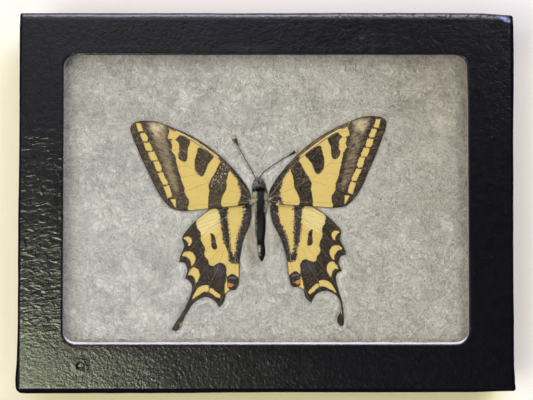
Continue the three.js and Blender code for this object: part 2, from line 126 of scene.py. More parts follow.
class Finish:
    """A material or the world: node() adds a node to its tree and gives back one output as a Wire."""

    def __init__(self, name, owner=None):
        self.owner = owner or bpy.data.materials.new(name)
        self.owner.use_nodes = True
        self.tree = self.owner.node_tree
        self.tree.nodes.clear()

    def node(self, kind, settings=None, inputs=None, output=0):
        made = self.tree.nodes.new(kind)
        for name, value in (settings or {}).items():
            setattr(made, name, value)
        for name, value in (inputs or {}).items():
            if isinstance(value, Wire):
                self.tree.links.new(value.socket, made.inputs[name])
            else:
                made.inputs[name].default_value = value
        return Wire(self, made.outputs[output])

    def mix(self, factor, first, second):
        """Blends two colours, each a wire or a colour code: factor 0 gives the first."""
        first, second = [colour(part) if isinstance(part, str) else part for part in (first, second)]
        return self.node("ShaderNodeMix", {"data_type": "RGBA"}, {0: factor, 6: first, 7: second}, 2)

    def layered(self, base, *layers):
        """A colour with layers over it, each a strength from 0 to 1 and a colour."""
        for strength, tint in layers:
            base = self.mix(strength, base, tint)
        return base

    def place(self, stretch=(1, 1, 1), turn=0):
        """Object coordinates in millimetres, measured along axes turned about Z in degrees, then multiplied
        by stretch."""
        scale = [MM / part for part in stretch]
        point = self.node("ShaderNodeTexCoord", output="Object")
        inputs = {"Vector": point, "Scale": scale, "Rotation": (0, 0, np.radians(turn))}
        return self.node("ShaderNodeMapping", {"vector_type": "TEXTURE"}, inputs)

    def axis(self, name):
        """One object coordinate in millimetres: X, Y or Z."""
        return self.node("ShaderNodeSeparateXYZ", inputs={"Vector": self.place()}, output=name)

    def noise(self, size, detail=2, roughness=0.5, stretch=(1, 1, 1), turn=0, distortion=0, place=None):
        """Smooth noise from 0 to 1 with lumps about size millimetres wide. It is read at the object's own
        coordinates, or at a place where one is given."""
        inputs = {"Vector": place or self.place(stretch, turn), "Scale": 1 / size, "Detail": detail,
                  "Roughness": roughness, "Distortion": distortion}
        return self.node("ShaderNodeTexNoise", inputs=inputs)

    def cells(self, size):
        """Distance to the nearest of random points about size millimetres apart, in cell widths."""
        return self.node("ShaderNodeTexVoronoi", inputs={"Vector": self.place(), "Scale": 1 / size})

    def read(self, attribute):
        """A number stored on the mesh's points."""
        return self.node("ShaderNodeAttribute", {"attribute_name": attribute}, output="Fac")

    def bump(self, height, depth):
        """A normal bent by a height from 0 to 1 that stands for depth millimetres."""
        return self.node("ShaderNodeBump", inputs={"Height": height, "Distance": depth * MM})

    def principled(self, **sockets):
        """A Principled shader. Socket names are written with underscores for spaces."""
        inputs = {name.replace("_", " "): value for name, value in sockets.items()}
        return self.node("ShaderNodeBsdfPrincipled", inputs=inputs)

    def surface(self, **sockets):
        """The finish as one Principled surface."""
        return self.show(self.principled(**sockets))

    def show(self, shader, kind="ShaderNodeOutputMaterial"):
        self.tree.links.new(shader.socket, self.tree.nodes.new(kind).inputs["Surface"])
        return self.owner


def make_piece(name, points, faces, material, attributes=None, smooth=True):
    """A mesh from an array of points and a list of face arrays, each row of which is one face's points."""
    mesh = bpy.data.meshes.new(name)
    corners = np.concatenate([group.ravel() for group in faces]).astype(np.int32)
    sides = np.concatenate([np.full(len(group), group.shape[1]) for group in faces])
    mesh.vertices.add(len(points))
    mesh.vertices.foreach_set("co", (points * MM).astype(np.float32).ravel())
    mesh.loops.add(len(corners))
    mesh.loops.foreach_set("vertex_index", corners)
    mesh.polygons.add(len(sides))
    mesh.polygons.foreach_set("loop_start", (np.cumsum(sides) - sides).astype(np.int32))
    mesh.polygons.foreach_set("use_smooth", np.full(len(sides), smooth))
    for key, values in (attributes or {}).items():
        mesh.attributes.new(key, "FLOAT", "POINT").data.foreach_set("value", values.astype(np.float32))
    mesh.update(calc_edges=True)
    mesh.materials.append(material)
    piece = bpy.data.objects.new(name, mesh)
    bpy.context.scene.collection.objects.link(piece)
    return piece


def aim(thing, place, target):
    """Puts a camera or light at a place, looking at a target, with +Y up in its view."""
    thing.location = Vector(place) * MM
    thing.rotation_euler = (Vector(target) - Vector(place)).to_track_quat("-Z", "Y").to_euler()
    bpy.context.scene.collection.objects.link(thing)


def light_panel(name, turn, height, away, size, power, tint):
    """A square soft light: turn is its bearing from +X and height its angle above the floor, in degrees."""
    light = bpy.data.lights.new(name, "AREA")
    light.size = size * MM
    light.energy = power
    light.color = colour(tint)[:3]
    turn, height = np.radians([turn, height])
    place = away * np.array([np.cos(turn) * np.cos(height), np.sin(turn) * np.cos(height), np.sin(height)])
    lamp = bpy.data.objects.new(name, light)
    aim(lamp, place.tolist(), (0, 0, 0))
    return lamp


camera_data = bpy.data.cameras.new("camera")
camera_data.lens = CAMERA_LENS
camera_data.sensor_width = CAMERA_SENSOR
camera_data.clip_start = MM
camera = bpy.data.objects.new("camera", camera_data)
aim(camera, CAMERA_PLACE, CAMERA_TARGET)
bpy.context.scene.camera = camera
bpy.context.scene.view_settings.view_transform = "Standard"

light_panel("window_light", **WINDOW_PANEL)
fill_light = light_panel("fill_light", **FILL_PANEL)
fill_light.visible_glossy = False
fill_light.visible_transmission = False
for panel_name, panel in (("sheen", SHEEN_PANEL), ("edge", EDGE_PANEL), ("grain", GRAIN_PANEL)):
    light_panel(panel_name + "_light", **panel).visible_diffuse = False

room = bpy.data.worlds.new("room")
bpy.context.scene.world = room
room_finish = Finish("room", room)
room_way = room_finish.node("ShaderNodeTexCoord", output="Generated")
room_east, room_north, room_up = [
    room_finish.node("ShaderNodeSeparateXYZ", inputs={"Vector": room_way}, output=name) for name in "XYZ"]
to_sheen = room_east * ZENITH_TILT[0] + room_north * ZENITH_TILT[1]
dark_ceiling = room_up.ramp(*ZENITH_FADE) * to_sheen.ramp(*SHEEN_FADE)
room_strength = AMBIENT_STRENGTH - (AMBIENT_STRENGTH - ZENITH_STRENGTH) * dark_ceiling
room_finish.show(room_finish.node("ShaderNodeBackground", inputs={
    "Color": colour(AMBIENT_COLOUR), "Strength": room_strength}), "ShaderNodeOutputWorld")

floor_half = FLOOR_SIZE / 2
floor_points = np.array([[-1, -1, 0], [1, -1, 0], [1, 1, 0], [-1, 1, 0]]) * floor_half - [0, 0, FLOOR_DROP]
floor_finish = Finish("pale_table")
floor_x, floor_y = floor_finish.axis("X"), floor_finish.axis("Y")
# A yellow painted shadow below the box's lower side, over painted light tints across the floor.
painted_box_shadow = floor_y.ramp(*PAINTED_SHADOW_PATCH["top"]) * floor_y.ramp(*PAINTED_SHADOW_PATCH["foot"])
painted_box_shadow = painted_box_shadow * abs(floor_x).ramp(*PAINTED_SHADOW_PATCH["sides"])
floor_colour = floor_finish.layered(
    FLOOR_CREAM,
    (floor_x.ramp(*GREY_FADE), FLOOR_GREY),
    (floor_y.ramp(*LILAC_FADE) * LILAC_SHARE, FLOOR_LILAC),
    (painted_box_shadow, FLOOR_PAINTED_SHADOW),
)
floor = make_piece("floor", floor_points, [np.array([[0, 1, 2, 3]])],
                   floor_finish.surface(Base_Color=floor_colour, Roughness=FLOOR_ROUGHNESS))


# ---------------------------------------------------------------- lid
# A shallow card lid wrapped in black embossed paper. Its edges are rounded by the wrap, the long ones most,
# and its corners are knocked. The round-cornered window was cut through paper and card, so its edge is bare.
# That bare card is painted light and shade: white on the lower side, dimmer on the left and right, dark
# above.
# The crushed upper right corner has a painted highlight.
BOX_LENGTH = 130
BOX_WIDTH = 100
BOX_DEPTH = 20
CARD = 1.2
LID_FOOT = 0.6
OUTER_CORNER = 0.6
INNER_CORNER = 0.4
END_EDGE_ROUNDING = 0.75
LONG_EDGE_ROUNDING = 1.5
WINDOW_LENGTH = 106.7
WINDOW_WIDTH = 76.3
WINDOW_SHIFT = 1.05
WINDOW_CORNER = 3.4
WINDOW_EDGE_SLOPES = {"left": 0.04, "right": 0.04, "lower": 0.42, "upper": 0.0}
# How light each side of the cut card is painted: painted light where it faces the light, painted shade above.
WINDOW_EDGE_PAINTED_LIGHT = {"left": 0.4, "right": 0.4, "lower": 1, "upper": 0.03}
# Where each side's painted light on the card starts and is full, measured inwards from the window's outline.
# The right side's painted light ends towards its upper corner.
WINDOW_EDGE_LIGHT_FADES = {"left": (3, 0.6), "right": (1, 0.2), "lower": (3, 0.6), "upper": (1, 0)}
RIGHT_EDGE_LIGHT_END = (33, 25)
WINDOW_PAPER_ROUNDING = 0.25
RAGGED_CUT = ((0.16, 2.3, 7), (0.08, 0.9, 8))
LID_WAVE = ((0.07, 17, 3), (0.03, 7, 4))
SIDE_WAVE = ((0.1, 14, 5), (0.05, 5, 6))
# How far each side stands out beyond the straight box: at first, and then by each amount from one place along
# the side to another.
SIDE_SWELL = {
    "left": (0.15, (0.1, 40, 0), (0.25, -32, -44), (0.3, -41, -47)),
    "right": (0.25, (0.4, 10, 45), (0.25, -43, -47), (0.25, -47, -48.6)),
    "lower": (0.12, (-0.25, -60, 45), (-0.35, 52, 66)),
    "upper": (0.42, (-0.2, 57, 61), (-0.4, 60, 66)),
}
# The lower left corner is blunted where -x - y passes BLUNT_FADE, and the upper right one is crushed where
# x / 2 + y passes CRUSH_FADE.
BLUNT_FADE = (113.2, 115)
BLUNTING = (0.6, 0.45)
CRUSH_FADE = (80.4, 82.4)
CRUSH_DEPTH = 0.45
LONG_SIDE_STEPS = 250
SHORT_SIDE_STEPS = 190
RING_CORNER_STEPS = 10
WALL_RINGS = 9
ROUNDING_RINGS = 9
TOP_RINGS = 24
CUT_RINGS = 5
PAPER_BLACK = "#09080d"
PAPER_SCUFF = "#3c3e4a"
# Blue-lilac painted highlight on the crushed upper right corner.
CORNER_PAINTED_HIGHLIGHT = "#7f8fd6"
CARD_CORE = "#e6dfe6"
CARD_CORE_SHADE = "#cfc4cc"
PAPER_RELIEF = 0.05
PAPER_ROUGHNESS = 0.17
PAPER_PATCHINESS = 0.1
PAPER_SHINE = 0.28
CARD_ROUGHNESS = 0.9
WRINKLE_DEPTH = 3.4
CREASED_PART = {"right": (-48, -54), "foot": (-41, -30), "top": (30, 14)}
DIMPLE_PLACE = (-48.6, -42.8)
SCUFF_PLACE = (26.8, 44)
KNOCKED_CORNER = (63.3, 48.5)


def drift(x, y, cell, seed):
    """Smooth random hills about one cell wide, from -1 to 1: random heights at the corners of square cells,
    blended inside each cell by a smooth step."""
    size = 256
    lattice = np.random.default_rng(seed).uniform(-1, 1, (size, size))
    column, row = x / cell + size / 2, y / cell + size / 2
    left, low = np.floor(column).astype(int), np.floor(row).astype(int)
    across, up = column - left, row - low
    across, up = across * across * (3 - 2 * across), up * up * (3 - 2 * up)
    left, low, right, high = left % size, low % size, (left + 1) % size, (low + 1) % size
    bottom = lattice[low, left] * (1 - across) + lattice[low, right] * across
    top = lattice[high, left] * (1 - across) + lattice[high, right] * across
    return bottom * (1 - up) + top * up


def hills(x, y, waves):
    """Several drifts in one: each wave is a height, a cell in millimetres and a seed."""
    return sum(height * drift(x, y, cell, seed) for height, cell, seed in waves)


def ease(value, low, high):
    """0 at low, 1 at high and a smooth step between. low may be the larger of the two."""
    part = np.clip((value - low) / (high - low), 0, 1)
    return part * part * (3 - 2 * part)


def stepped(value, start, *steps):
    """A start, to which each step (amount, low, high) adds its amount as value goes from low to high."""
    return sum((amount * ease(value, low, high) for amount, low, high in steps), start)


def rounded_ring(low_x, high_x, low_y, high_y, radius):
    """Points round a rectangle, anticlockwise from its right side: a quarter circle at each corner and
    evenly spaced points between them. Every ring has the same number of points."""
    centres = [(high_x - radius, high_y - radius), (low_x + radius, high_y - radius),
               (low_x + radius, low_y + radius), (high_x - radius, low_y + radius)]
    arcs = []
    for quarter, centre in enumerate(centres):
        angle = np.linspace(quarter, quarter + 1, RING_CORNER_STEPS + 1) * np.pi / 2
        arcs.append(np.array(centre) + radius * np.column_stack([np.cos(angle), np.sin(angle)]))
    stretches = []
    for quarter, arc in enumerate(arcs):
        steps = LONG_SIDE_STEPS if quarter % 2 == 0 else SHORT_SIDE_STEPS
        part = np.arange(1, steps)[:, None] / steps
        following = arcs[(quarter + 1) % 4][0]
        stretches += [arc, arc[-1] * (1 - part) + following * part]
    return np.concatenate(stretches)


def loft(rings, closes_on_itself):
    """Skins equal rings of points, from an array of rings by points by 3. The rings close on themselves, or
    end in flat caps."""
    count, around = rings.shape[:2]
    number = np.arange(count * around).reshape(count, around)
    upper = np.roll(number, -1, axis=0) if closes_on_itself else number[1:]
    lower = number if closes_on_itself else number[:-1]
    walls = np.stack([lower, np.roll(lower, -1, axis=1), np.roll(upper, -1, axis=1), upper], axis=-1)
    faces = [walls.reshape(-1, 4)]
    if not closes_on_itself:
        faces += [number[:1, ::-1], number[-1:]]
    return rings.reshape(-1, 3), faces


def box_ring(inset, z, radius, long_inset=None):
    """A ring of the box's outline, moved in by an inset, which may differ on its long sides."""
    long_inset = inset if long_inset is None else long_inset
    flat = rounded_ring(inset - BOX_LENGTH / 2, BOX_LENGTH / 2 - inset,
                        long_inset - BOX_WIDTH / 2, BOX_WIDTH / 2 - long_inset, radius)
    return np.column_stack([flat, np.broadcast_to(z, len(flat))])


def window_ring(growth, z, slant=0):
    """A ring of the window's outline, grown outwards. slant is how far down the cut edge it lies, from 0 to
    1: the edge slopes inwards, on each side by its own amount, and its lower side is a little ragged."""
    half_length, half_width = WINDOW_LENGTH / 2 + growth, WINDOW_WIDTH / 2 + growth
    inward = {side: slant * slope for side, slope in WINDOW_EDGE_SLOPES.items()}
    flat = rounded_ring(inward["left"] - half_length, half_length - inward["right"],
                        WINDOW_SHIFT - half_width + inward["lower"],
                        WINDOW_SHIFT + half_width - inward["upper"], WINDOW_CORNER + growth)
    flat[:, 1] += slant * hills(*flat.T, RAGGED_CUT) * ease(flat[:, 1], 3 - half_width, -half_width)
    return np.column_stack([flat, np.full(len(flat), z)])


def painted_edge_light(ring):
    """How light the cut edge's card is painted: painted light and shade, brighter on some sides than others.
    """
    x, y = ring[:, 0], ring[:, 1] - WINDOW_SHIFT
    outwards = {"left": (-x, WINDOW_LENGTH), "right": (x, WINDOW_LENGTH),
                "lower": (-y, WINDOW_WIDTH), "upper": (y, WINDOW_WIDTH)}
    white = {}
    for side, (place, size) in outwards.items():
        start, full = WINDOW_EDGE_LIGHT_FADES[side]
        white[side] = WINDOW_EDGE_PAINTED_LIGHT[side] * ease(place, size / 2 - start, size / 2 - full)
    white["right"] = white["right"] * ease(y, *RIGHT_EDGE_LIGHT_END)
    return np.max(list(white.values()), axis=0)


def lid_rings():
    """Rings up the outer wall, over the rounded edge, across the top to the window, down its cut edge and
    back under the top to the inner wall. The second result is how bare the card is at each point: 0 on
    paper; on the cut edge it also holds each side's painted light and shade."""
    rings, bare = [], []

    def add(ring, is_bare=0):
        rings.append(ring)
        bare.append(np.full(len(ring), is_bare))

    for z in np.linspace(LID_FOOT, BOX_DEPTH - LONG_EDGE_ROUNDING - 0.5, WALL_RINGS):
        add(box_ring(0, z, OUTER_CORNER))
    outline = box_ring(0, 0, OUTER_CORNER)
    on_long_side = ease(abs(outline[:, 1]), BOX_WIDTH / 2 - 4, BOX_WIDTH / 2 - 0.6)
    rounding = END_EDGE_ROUNDING + (LONG_EDGE_ROUNDING - END_EDGE_ROUNDING) * on_long_side
    for angle in np.linspace(0, np.pi / 2, ROUNDING_RINGS):
        inset = 1 - np.cos(angle)
        z = BOX_DEPTH - rounding * (1 - np.sin(angle))
        add(box_ring(END_EDGE_ROUNDING * inset, z, OUTER_CORNER, LONG_EDGE_ROUNDING * inset))
    rim = rings[-1]
    edge = window_ring(WINDOW_PAPER_ROUNDING, BOX_DEPTH)
    for part in np.linspace(0, 1, TOP_RINGS)[1:]:
        add(rim * (1 - part) + edge * part)
    for angle in np.linspace(0, np.pi / 2, 4)[1:]:
        add(window_ring(WINDOW_PAPER_ROUNDING * (1 - np.sin(angle)),
                        BOX_DEPTH - WINDOW_PAPER_ROUNDING * (1 - np.cos(angle))))
    paper_end = BOX_DEPTH - WINDOW_PAPER_ROUNDING
    for part in np.linspace(0, 1, CUT_RINGS):
        cut = window_ring(-0.01, paper_end - 0.01 - (CARD - WINDOW_PAPER_ROUNDING) * part, part)
        add(cut, painted_edge_light(cut))
    under = rings[-1]
    corner = box_ring(CARD, BOX_DEPTH - CARD, INNER_CORNER)
    for part in (0.05, 0.5, 1):
        add(under * (1 - part) + corner * part, 1)
    for z in (BOX_DEPTH / 2, LID_FOOT):
        add(box_ring(CARD, z, INNER_CORNER), 1)
    return np.array(rings), np.concatenate(bare)


def knock_lid(points):
    """Wear of the lid: the wrap swells each side along its own gentle curve, low waves run all over, the
    lower corners flare, the lower left one is blunted and the upper right one is crushed."""
    x, y, z = points.T
    top = ease(z, BOX_DEPTH - 2, BOX_DEPTH - 0.3)
    shown = ease(z, BOX_DEPTH - CARD - 0.1, BOX_DEPTH - CARD + 0.3)
    outside = ease(np.maximum(abs(x) - BOX_LENGTH / 2, abs(y) - BOX_WIDTH / 2), -1.2, -0.9)
    wave = hills(0.8 * x + 0.6 * y, 0.8 * y - 0.6 * x, LID_WAVE[:1])
    wave = wave + hills(0.6 * x - 0.8 * y, 0.6 * y + 0.8 * x, LID_WAVE[1:])
    side = hills(x + y, z, SIDE_WAVE[:1]) + hills(x + y, z * 2, SIDE_WAVE[1:])
    beyond_window = np.maximum(abs(x) - WINDOW_LENGTH / 2, abs(y - WINDOW_SHIFT) - WINDOW_WIDTH / 2)
    near_window = ease(beyond_window, 0.3, 3)
    left, right = (stepped(y, *SIDE_SWELL[name]) for name in ("left", "right"))
    lower, upper = (stepped(x, *SIDE_SWELL[name]) for name in ("lower", "upper"))
    on_end, on_long_side = abs(x) > BOX_LENGTH / 2 - CARD, abs(y) > BOX_WIDTH / 2 - CARD
    blunt = ease(-x - y, *BLUNT_FADE)
    crushed = ease(x * 0.5 + y, *CRUSH_FADE)
    dx = np.where(on_end, side + np.where(x < 0, -left, right), 0) + BLUNTING[0] * blunt
    dy = np.where(on_long_side, side + np.where(y < 0, -lower, upper), 0) + BLUNTING[1] * blunt
    dz = top * shown * near_window * wave - crushed * CRUSH_DEPTH * shown * near_window
    return points + np.column_stack([dx * outside, dy * outside, dz])


def leatherette():
    """Black paper with a pressed leather grain: pebbles all over, creases across its left side, a dimple
    with puckers round it in the lower border, a scuff, pale specks, a blue-lilac painted highlight on the
    crushed corner, and folds that handling has rubbed dull. The bare card at the window's edge is off-white,
    with painted light and shade on its sides."""
    paper = Finish("black_embossed_paper")
    x, y = paper.axis("X"), paper.axis("Y")
    creased = (x.ramp(*CREASED_PART["right"]) * y.ramp(*CREASED_PART["foot"])
               * y.ramp(*CREASED_PART["top"]))
    pebbles = paper.noise(1.3, 1, 0.5, distortion=0.7) + paper.noise(0.75, 2, 0.55, distortion=0.9)
    wrinkles = paper.noise(1.4, 2, 0.5, (0.5, 1, 1), 4, 0.8) * WRINKLE_DEPTH

    def beside(place, across=1, along=1):
        """Squared distance from a place, with a weight in each direction."""
        east, north = x - place[0], y - place[1]
        return east * east * across + north * north * along

    from_dimple = beside(DIMPLE_PLACE)
    height = pebbles * (1 - 0.5 * creased) + wrinkles * creased
    height = height + from_dimple.ramp(7, 0) * paper.noise(0.9, 1) * 2 - from_dimple.ramp(1.6, 0) * 4
    scuff = (paper.noise(1.6, 4, 0.7) * beside(SCUFF_PLACE, 0.04, 0.09).ramp(1, 0)).ramp(0.42, 0.75)
    specks = paper.noise(0.35, 0).ramp(0.79, 0.84) * paper.noise(7, 1).ramp(0.45, 0.65)
    # A painted highlight on the crushed upper right corner's paper.
    east, north = x - KNOCKED_CORNER[0], y - KNOCKED_CORNER[1]
    from_corner = abs(east) * 0.65 + abs(north + east * 0.4) * 1.8
    painted_corner_highlight = from_corner.ramp(1.9, 0.5) * paper.noise(0.8, 2).ramp(0.2, 0.6)
    scuffed = (scuff * 0.5).most(specks * 0.5)
    black = paper.layered(PAPER_BLACK, (scuffed, PAPER_SCUFF), (painted_corner_highlight, CORNER_PAINTED_HIGHLIGHT))
    core = paper.mix(paper.noise(0.4, 3), CARD_CORE, CARD_CORE_SHADE)
    # On the window's cut edge this mask also carries the painted light and shade of each side.
    bare = paper.read("bare_card_painted_light")
    rough = PAPER_ROUGHNESS + PAPER_PATCHINESS * paper.noise(2.5, 3)
    sheen = paper.principled(
        Base_Color=paper.mix(bare, black, core),
        Roughness=rough.most(bare * CARD_ROUGHNESS),
        Normal=paper.bump(height * (1 - bare), PAPER_RELIEF),
        Specular_IOR_Level=PAPER_SHINE,
    )
    rubbed = paper.noise(1.1, 3, 0.65).ramp(0.48, 0.62) * (0.25 + 0.5 * x.ramp(-40, 30))
    upper_fold = (y - 49).ramp(-0.4, 0.2) * rubbed
    folds = (abs(x) - 64.4).most(-48.5 - y).ramp(-0.2, 0.4).most(upper_fold) * paper.axis("Z").ramp(15, 18)
    dull = paper.node("ShaderNodeBsdfDiffuse", inputs={"Color": colour(PAPER_BLACK)})
    return paper.show(paper.node("ShaderNodeMixShader", inputs={0: folds * 0.95, 1: sheen, 2: dull}))


black_paper = leatherette()
rings, bare_card_painted_light = lid_rings()
lid_points, lid_faces = loft(rings, True)
lid = make_piece("card_lid", knock_lid(lid_points), lid_faces, black_paper, {"bare_card_painted_light": bare_card_painted_light})
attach(lid, "root")
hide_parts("lid")


# ---------------------------------------------------------------- glass pane
# A pane of clear window glass with ground edges, laid inside the lid against the underside of its top.
# Light on its way to the batting passes straight through.
GLASS_TINT = (0.99, 0.985, 0.98, 1)
GLASS_CLEAR = (0.935, 0.942, 0.9, 1)
GLASS_IOR = 1.5

pane = Finish("clear_window_glass")
pane_shader = pane.node("ShaderNodeBsdfPrincipled", inputs={
    "Base Color": GLASS_TINT, "Roughness": 0.0, "IOR": GLASS_IOR, "Transmission Weight": 1})
pane_clear = pane.node("ShaderNodeBsdfTransparent", inputs={"Color": GLASS_CLEAR})
pane_lit = pane.node("ShaderNodeLightPath", output="Is Shadow Ray").most(
    pane.node("ShaderNodeLightPath", output="Is Diffuse Ray"))
pane.show(pane.node("ShaderNodeMixShader", inputs={0: pane_lit, 1: pane_shader, 2: pane_clear}))
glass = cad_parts["glass"]
glass.data.materials.clear()
glass.data.materials.append(pane.owner)


# ---------------------------------------------------------------- tray
# A card tray that slides up into the lid, wrapped in the same paper. The wrap is turned over onto the flat
# back, mitred at the corners, and a sheet of paper is glued over its raw edges.
TRAY_GAP = 0.3
BACK_SHEET_INSET = 4
PAPER_THICKNESS = 0.15
TRAY_ROUNDING = 0.5
SHEET_CORNER = 0.5
TRAY_INSET = CARD + TRAY_GAP
tray_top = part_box("tray")[1].z / MM


def tray_rings():
    """Rings out across the back, over the step where its paper sheet ends, round the lower edge, up the wall
    and down inside to the floor."""
    rings = []
    sheet_end = BACK_SHEET_INSET + TRAY_INSET
    for inset in (40, 30, 20, 12, sheet_end + PAPER_THICKNESS):
        rings.append(box_ring(inset, 0, SHEET_CORNER))
    for inset in (sheet_end, TRAY_INSET + 2, TRAY_INSET + TRAY_ROUNDING):
        rings.append(box_ring(inset, PAPER_THICKNESS, OUTER_CORNER))
    for angle in np.linspace(0, np.pi / 2, 6)[1:]:
        inset = TRAY_INSET + TRAY_ROUNDING * (1 - np.sin(angle))
        rings.append(box_ring(inset, PAPER_THICKNESS + TRAY_ROUNDING * (1 - np.cos(angle)), OUTER_CORNER))
    for z in (4, 8, 12, tray_top):
        rings.append(box_ring(TRAY_INSET, z, OUTER_CORNER))
    for z in (tray_top, 8, CARD):
        rings.append(box_ring(TRAY_INSET + CARD, z, INNER_CORNER))
    return np.array(rings)


tray_points, tray_faces = loft(tray_rings(), False)
tray = make_piece("card_tray", tray_points, tray_faces, black_paper,
                  {"bare_card_painted_light": np.zeros(len(tray_points))}, smooth=False)
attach(tray, "root")
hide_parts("tray")


# ---------------------------------------------------------------- wings
# Four dried membranes a few hundredths of a millimetre thick, stiffened by veins and covered with coloured
# scales. They are spread flat and held between batting and glass, the forewings over the hindwings.
BUTTERFLY_CENTRE = np.array([-1.57, -0.75])
WING_GRID = 0.15
WING_THICKNESS = 0.12
FOREWING_HEIGHT = 16.2
HINDWING_HEIGHT = 15.5
WING_ROOT = np.array([0.5, 0.9])
ROOT_DIP = 1.1
ROOT_DIP_REACH = 11
PLEAT_HEIGHT = 0.05
PLEAT_ANGLE = 16
VEIN_HEIGHT = 0.05
VEIN_HALF_WIDTH = 0.16
SCALE_ROW_ARM = 20
SCALE_ROW_STRETCH = 0.16
WING_WAVES = ((0.04, 6, 21), (0.012, 1.3, 22))
FRONT_FOLD_HEIGHT = 0.06
TAIL_LINE_HALF_WIDTH = 0.14
LOBE_BLUENESS = 0.26
LEFT_BLEACHING = 1.3
RIGHT_FLECKING = 0.3
HINDWING_ROWS_SHOWN = 0.35
FAR = 20.0
# What a wing's points hold where no mark is: depths inside marks, and strengths of marks with soft edges.
NO_MARKS = {"dark": -FAR, "soft": 0, "worn": 0, "bleached": 0, "costa": -FAR, "streak": FAR, "blue": 0,
            "orange": -FAR, "pale": 0, "fleck": 0}

# Each outline runs round the left wing as [outward, forward] from the butterfly's centre. Its stretches are
# joined at sharp corners, and each is a smooth curve through its points.
FOREWING_OUTLINE = [
    [[2.2, 1.2], [2.8, 3.9], [5.3, 7.7], [10.6, 13.3], [16, 17.3], [22.6, 20.6], [28.8, 22.6], [33.2, 22.3],
     [34.5, 21], [33.2, 16.5], [29.3, 8], [26.6, 2.7], [23.4, -0.7], [20.6, -1.35], [13.3, -0.8], [2.2, 0.4]],
]
HINDWING_SIDE = [
    [[2.3, 0.2], [5, 1.6], [9.5, 1.5], [13.8, -1.2], [17.8, -4.65], [20.7, -8.5], [20.2, -10.6],
     [21.2, -13.3], [21.5, -14.9]],
    [[21.5, -14.9], [20.1, -15.2], [19.3, -17], [19.9, -19.2]],
]
HINDWING_INNER = [
    [[10.8, -27], [9.6, -25.5], [9.2, -23.5]],
    [[9.2, -23.5], [8, -22.5], [6.4, -22.2], [5.6, -19.8], [5.4, -14.5], [4.25, -8.6], [2.7, -4.7],
     [2.2, -1.5]],
]
LEFT_TAIL = [
    [19.9, -19.2], [19, -19.7], [18.1, -21.2], [18.4, -23.7], [20.3, -27.8], [22.7, -31.5], [23.3, -32.8],
    [22.4, -33.3], [21.1, -32.2], [20, -29.6], [17.7, -25.9], [14.6, -24.2], [12.3, -25], [10.8, -27],
]
RIGHT_TAIL = [
    [19.9, -19.2], [18.8, -19.5], [18.1, -20.9], [18.4, -23.7], [19.2, -27.4], [19.3, -31], [18.9, -33.9],
    [18.2, -33.9], [17.4, -32.2], [18.6, -30], [18.9, -28], [17.6, -25.4], [15.1, -24.1], [12.5, -24.8],
    [10.8, -27],
]
# How each wing lies, and where its scale pattern lies, which differs a little between the two sides:
# swing in degrees forward, reach, and a shift outward and forward.
SPREAD = {
    "forewing_left": {"side": -1, "wing": (0, 1, (0, 0)), "pattern": (0, 1, (0, 0))},
    "forewing_right": {"side": 1, "wing": (2.2, 1, (-0.05, 0.1)), "pattern": (2.35, 0.986, (0.48, 0.08))},
    "hindwing_left": {"side": -1, "wing": (0, 1, (0, 0)), "pattern": (0, 1, (0, 0))},
    "hindwing_right": {"side": 1, "wing": (5.3, 0.985, (0.49, -0.3)), "pattern": (5.2, 0.988, (0.38, -0.27))},
}

# The forewing's scale pattern, as outlines that are smooth curves through their points.
FOREWING_DARK = {
    "margin": [(24.7, 21.6), (23.7, 19), (23.2, 16.5), (22.7, 14.4), (22.4, 12.6), (22.3, 12), (21.8, 10),
               (21.3, 8.4), (20.8, 6.5), (20.1, 4.9), (20, 3.4), (18.9, 1.7), (18.9, 0.4), (19.2, -0.8),
               (18.8, -1.6), (19.5, -4), (27, -3), (34, 8), (38, 20), (34, 26), (27, 25)],
    "outer_bar": [(22.6, 17.7), (22.2, 18.5), (21.4, 19), (18.5, 17.4), (18.8, 16.2), (19.3, 14.8),
                  (19.3, 12.9), (19.7, 11.8), (20.6, 11.8), (21.6, 12.6), (21.8, 14.5), (21.5, 16.2),
                  (22.1, 17.2)],
    "cell_bar": [(16.7, 15.3), (16, 15.6), (12.2, 13.1), (13, 12.1), (13.9, 10.8), (14.4, 9.4), (14.8, 8.4),
                 (15.6, 7.8), (16.4, 8.3), (17.1, 9.2), (17.4, 10.8), (17.4, 12.1), (17.1, 13.4),
                 (16.8, 14.3)],
    "median_band": [(10.6, 13), (10.5, 11.8), (11.1, 10.8), (11.7, 9.5), (12.3, 8.2), (13, 7.3),
                    (13.4, 6.2), (13.8, 5.5), (13.5, 4.1), (13.7, 2.8), (13.8, 1.3), (13.8, -0.8),
                    (13.6, -3), (10, -3), (9.8, -0.5), (10.3, 0.5), (10.2, 1.7), (9.8, 2.8), (9.2, 4),
                    (8.8, 5.5), (8.9, 6.6), (8.5, 8.1), (8.1, 9.4), (8, 10.5)],
    "base": [(8.4, 10.6), (8, 9.5), (7.2, 8.4), (6.2, 7.2), (5.8, 5.7), (5.3, 4.1), (5.2, 2.8), (5.5, 1.5),
             (5.9, 0.3), (5.6, -2), (0, -2), (-1, 4), (4, 11)],
}
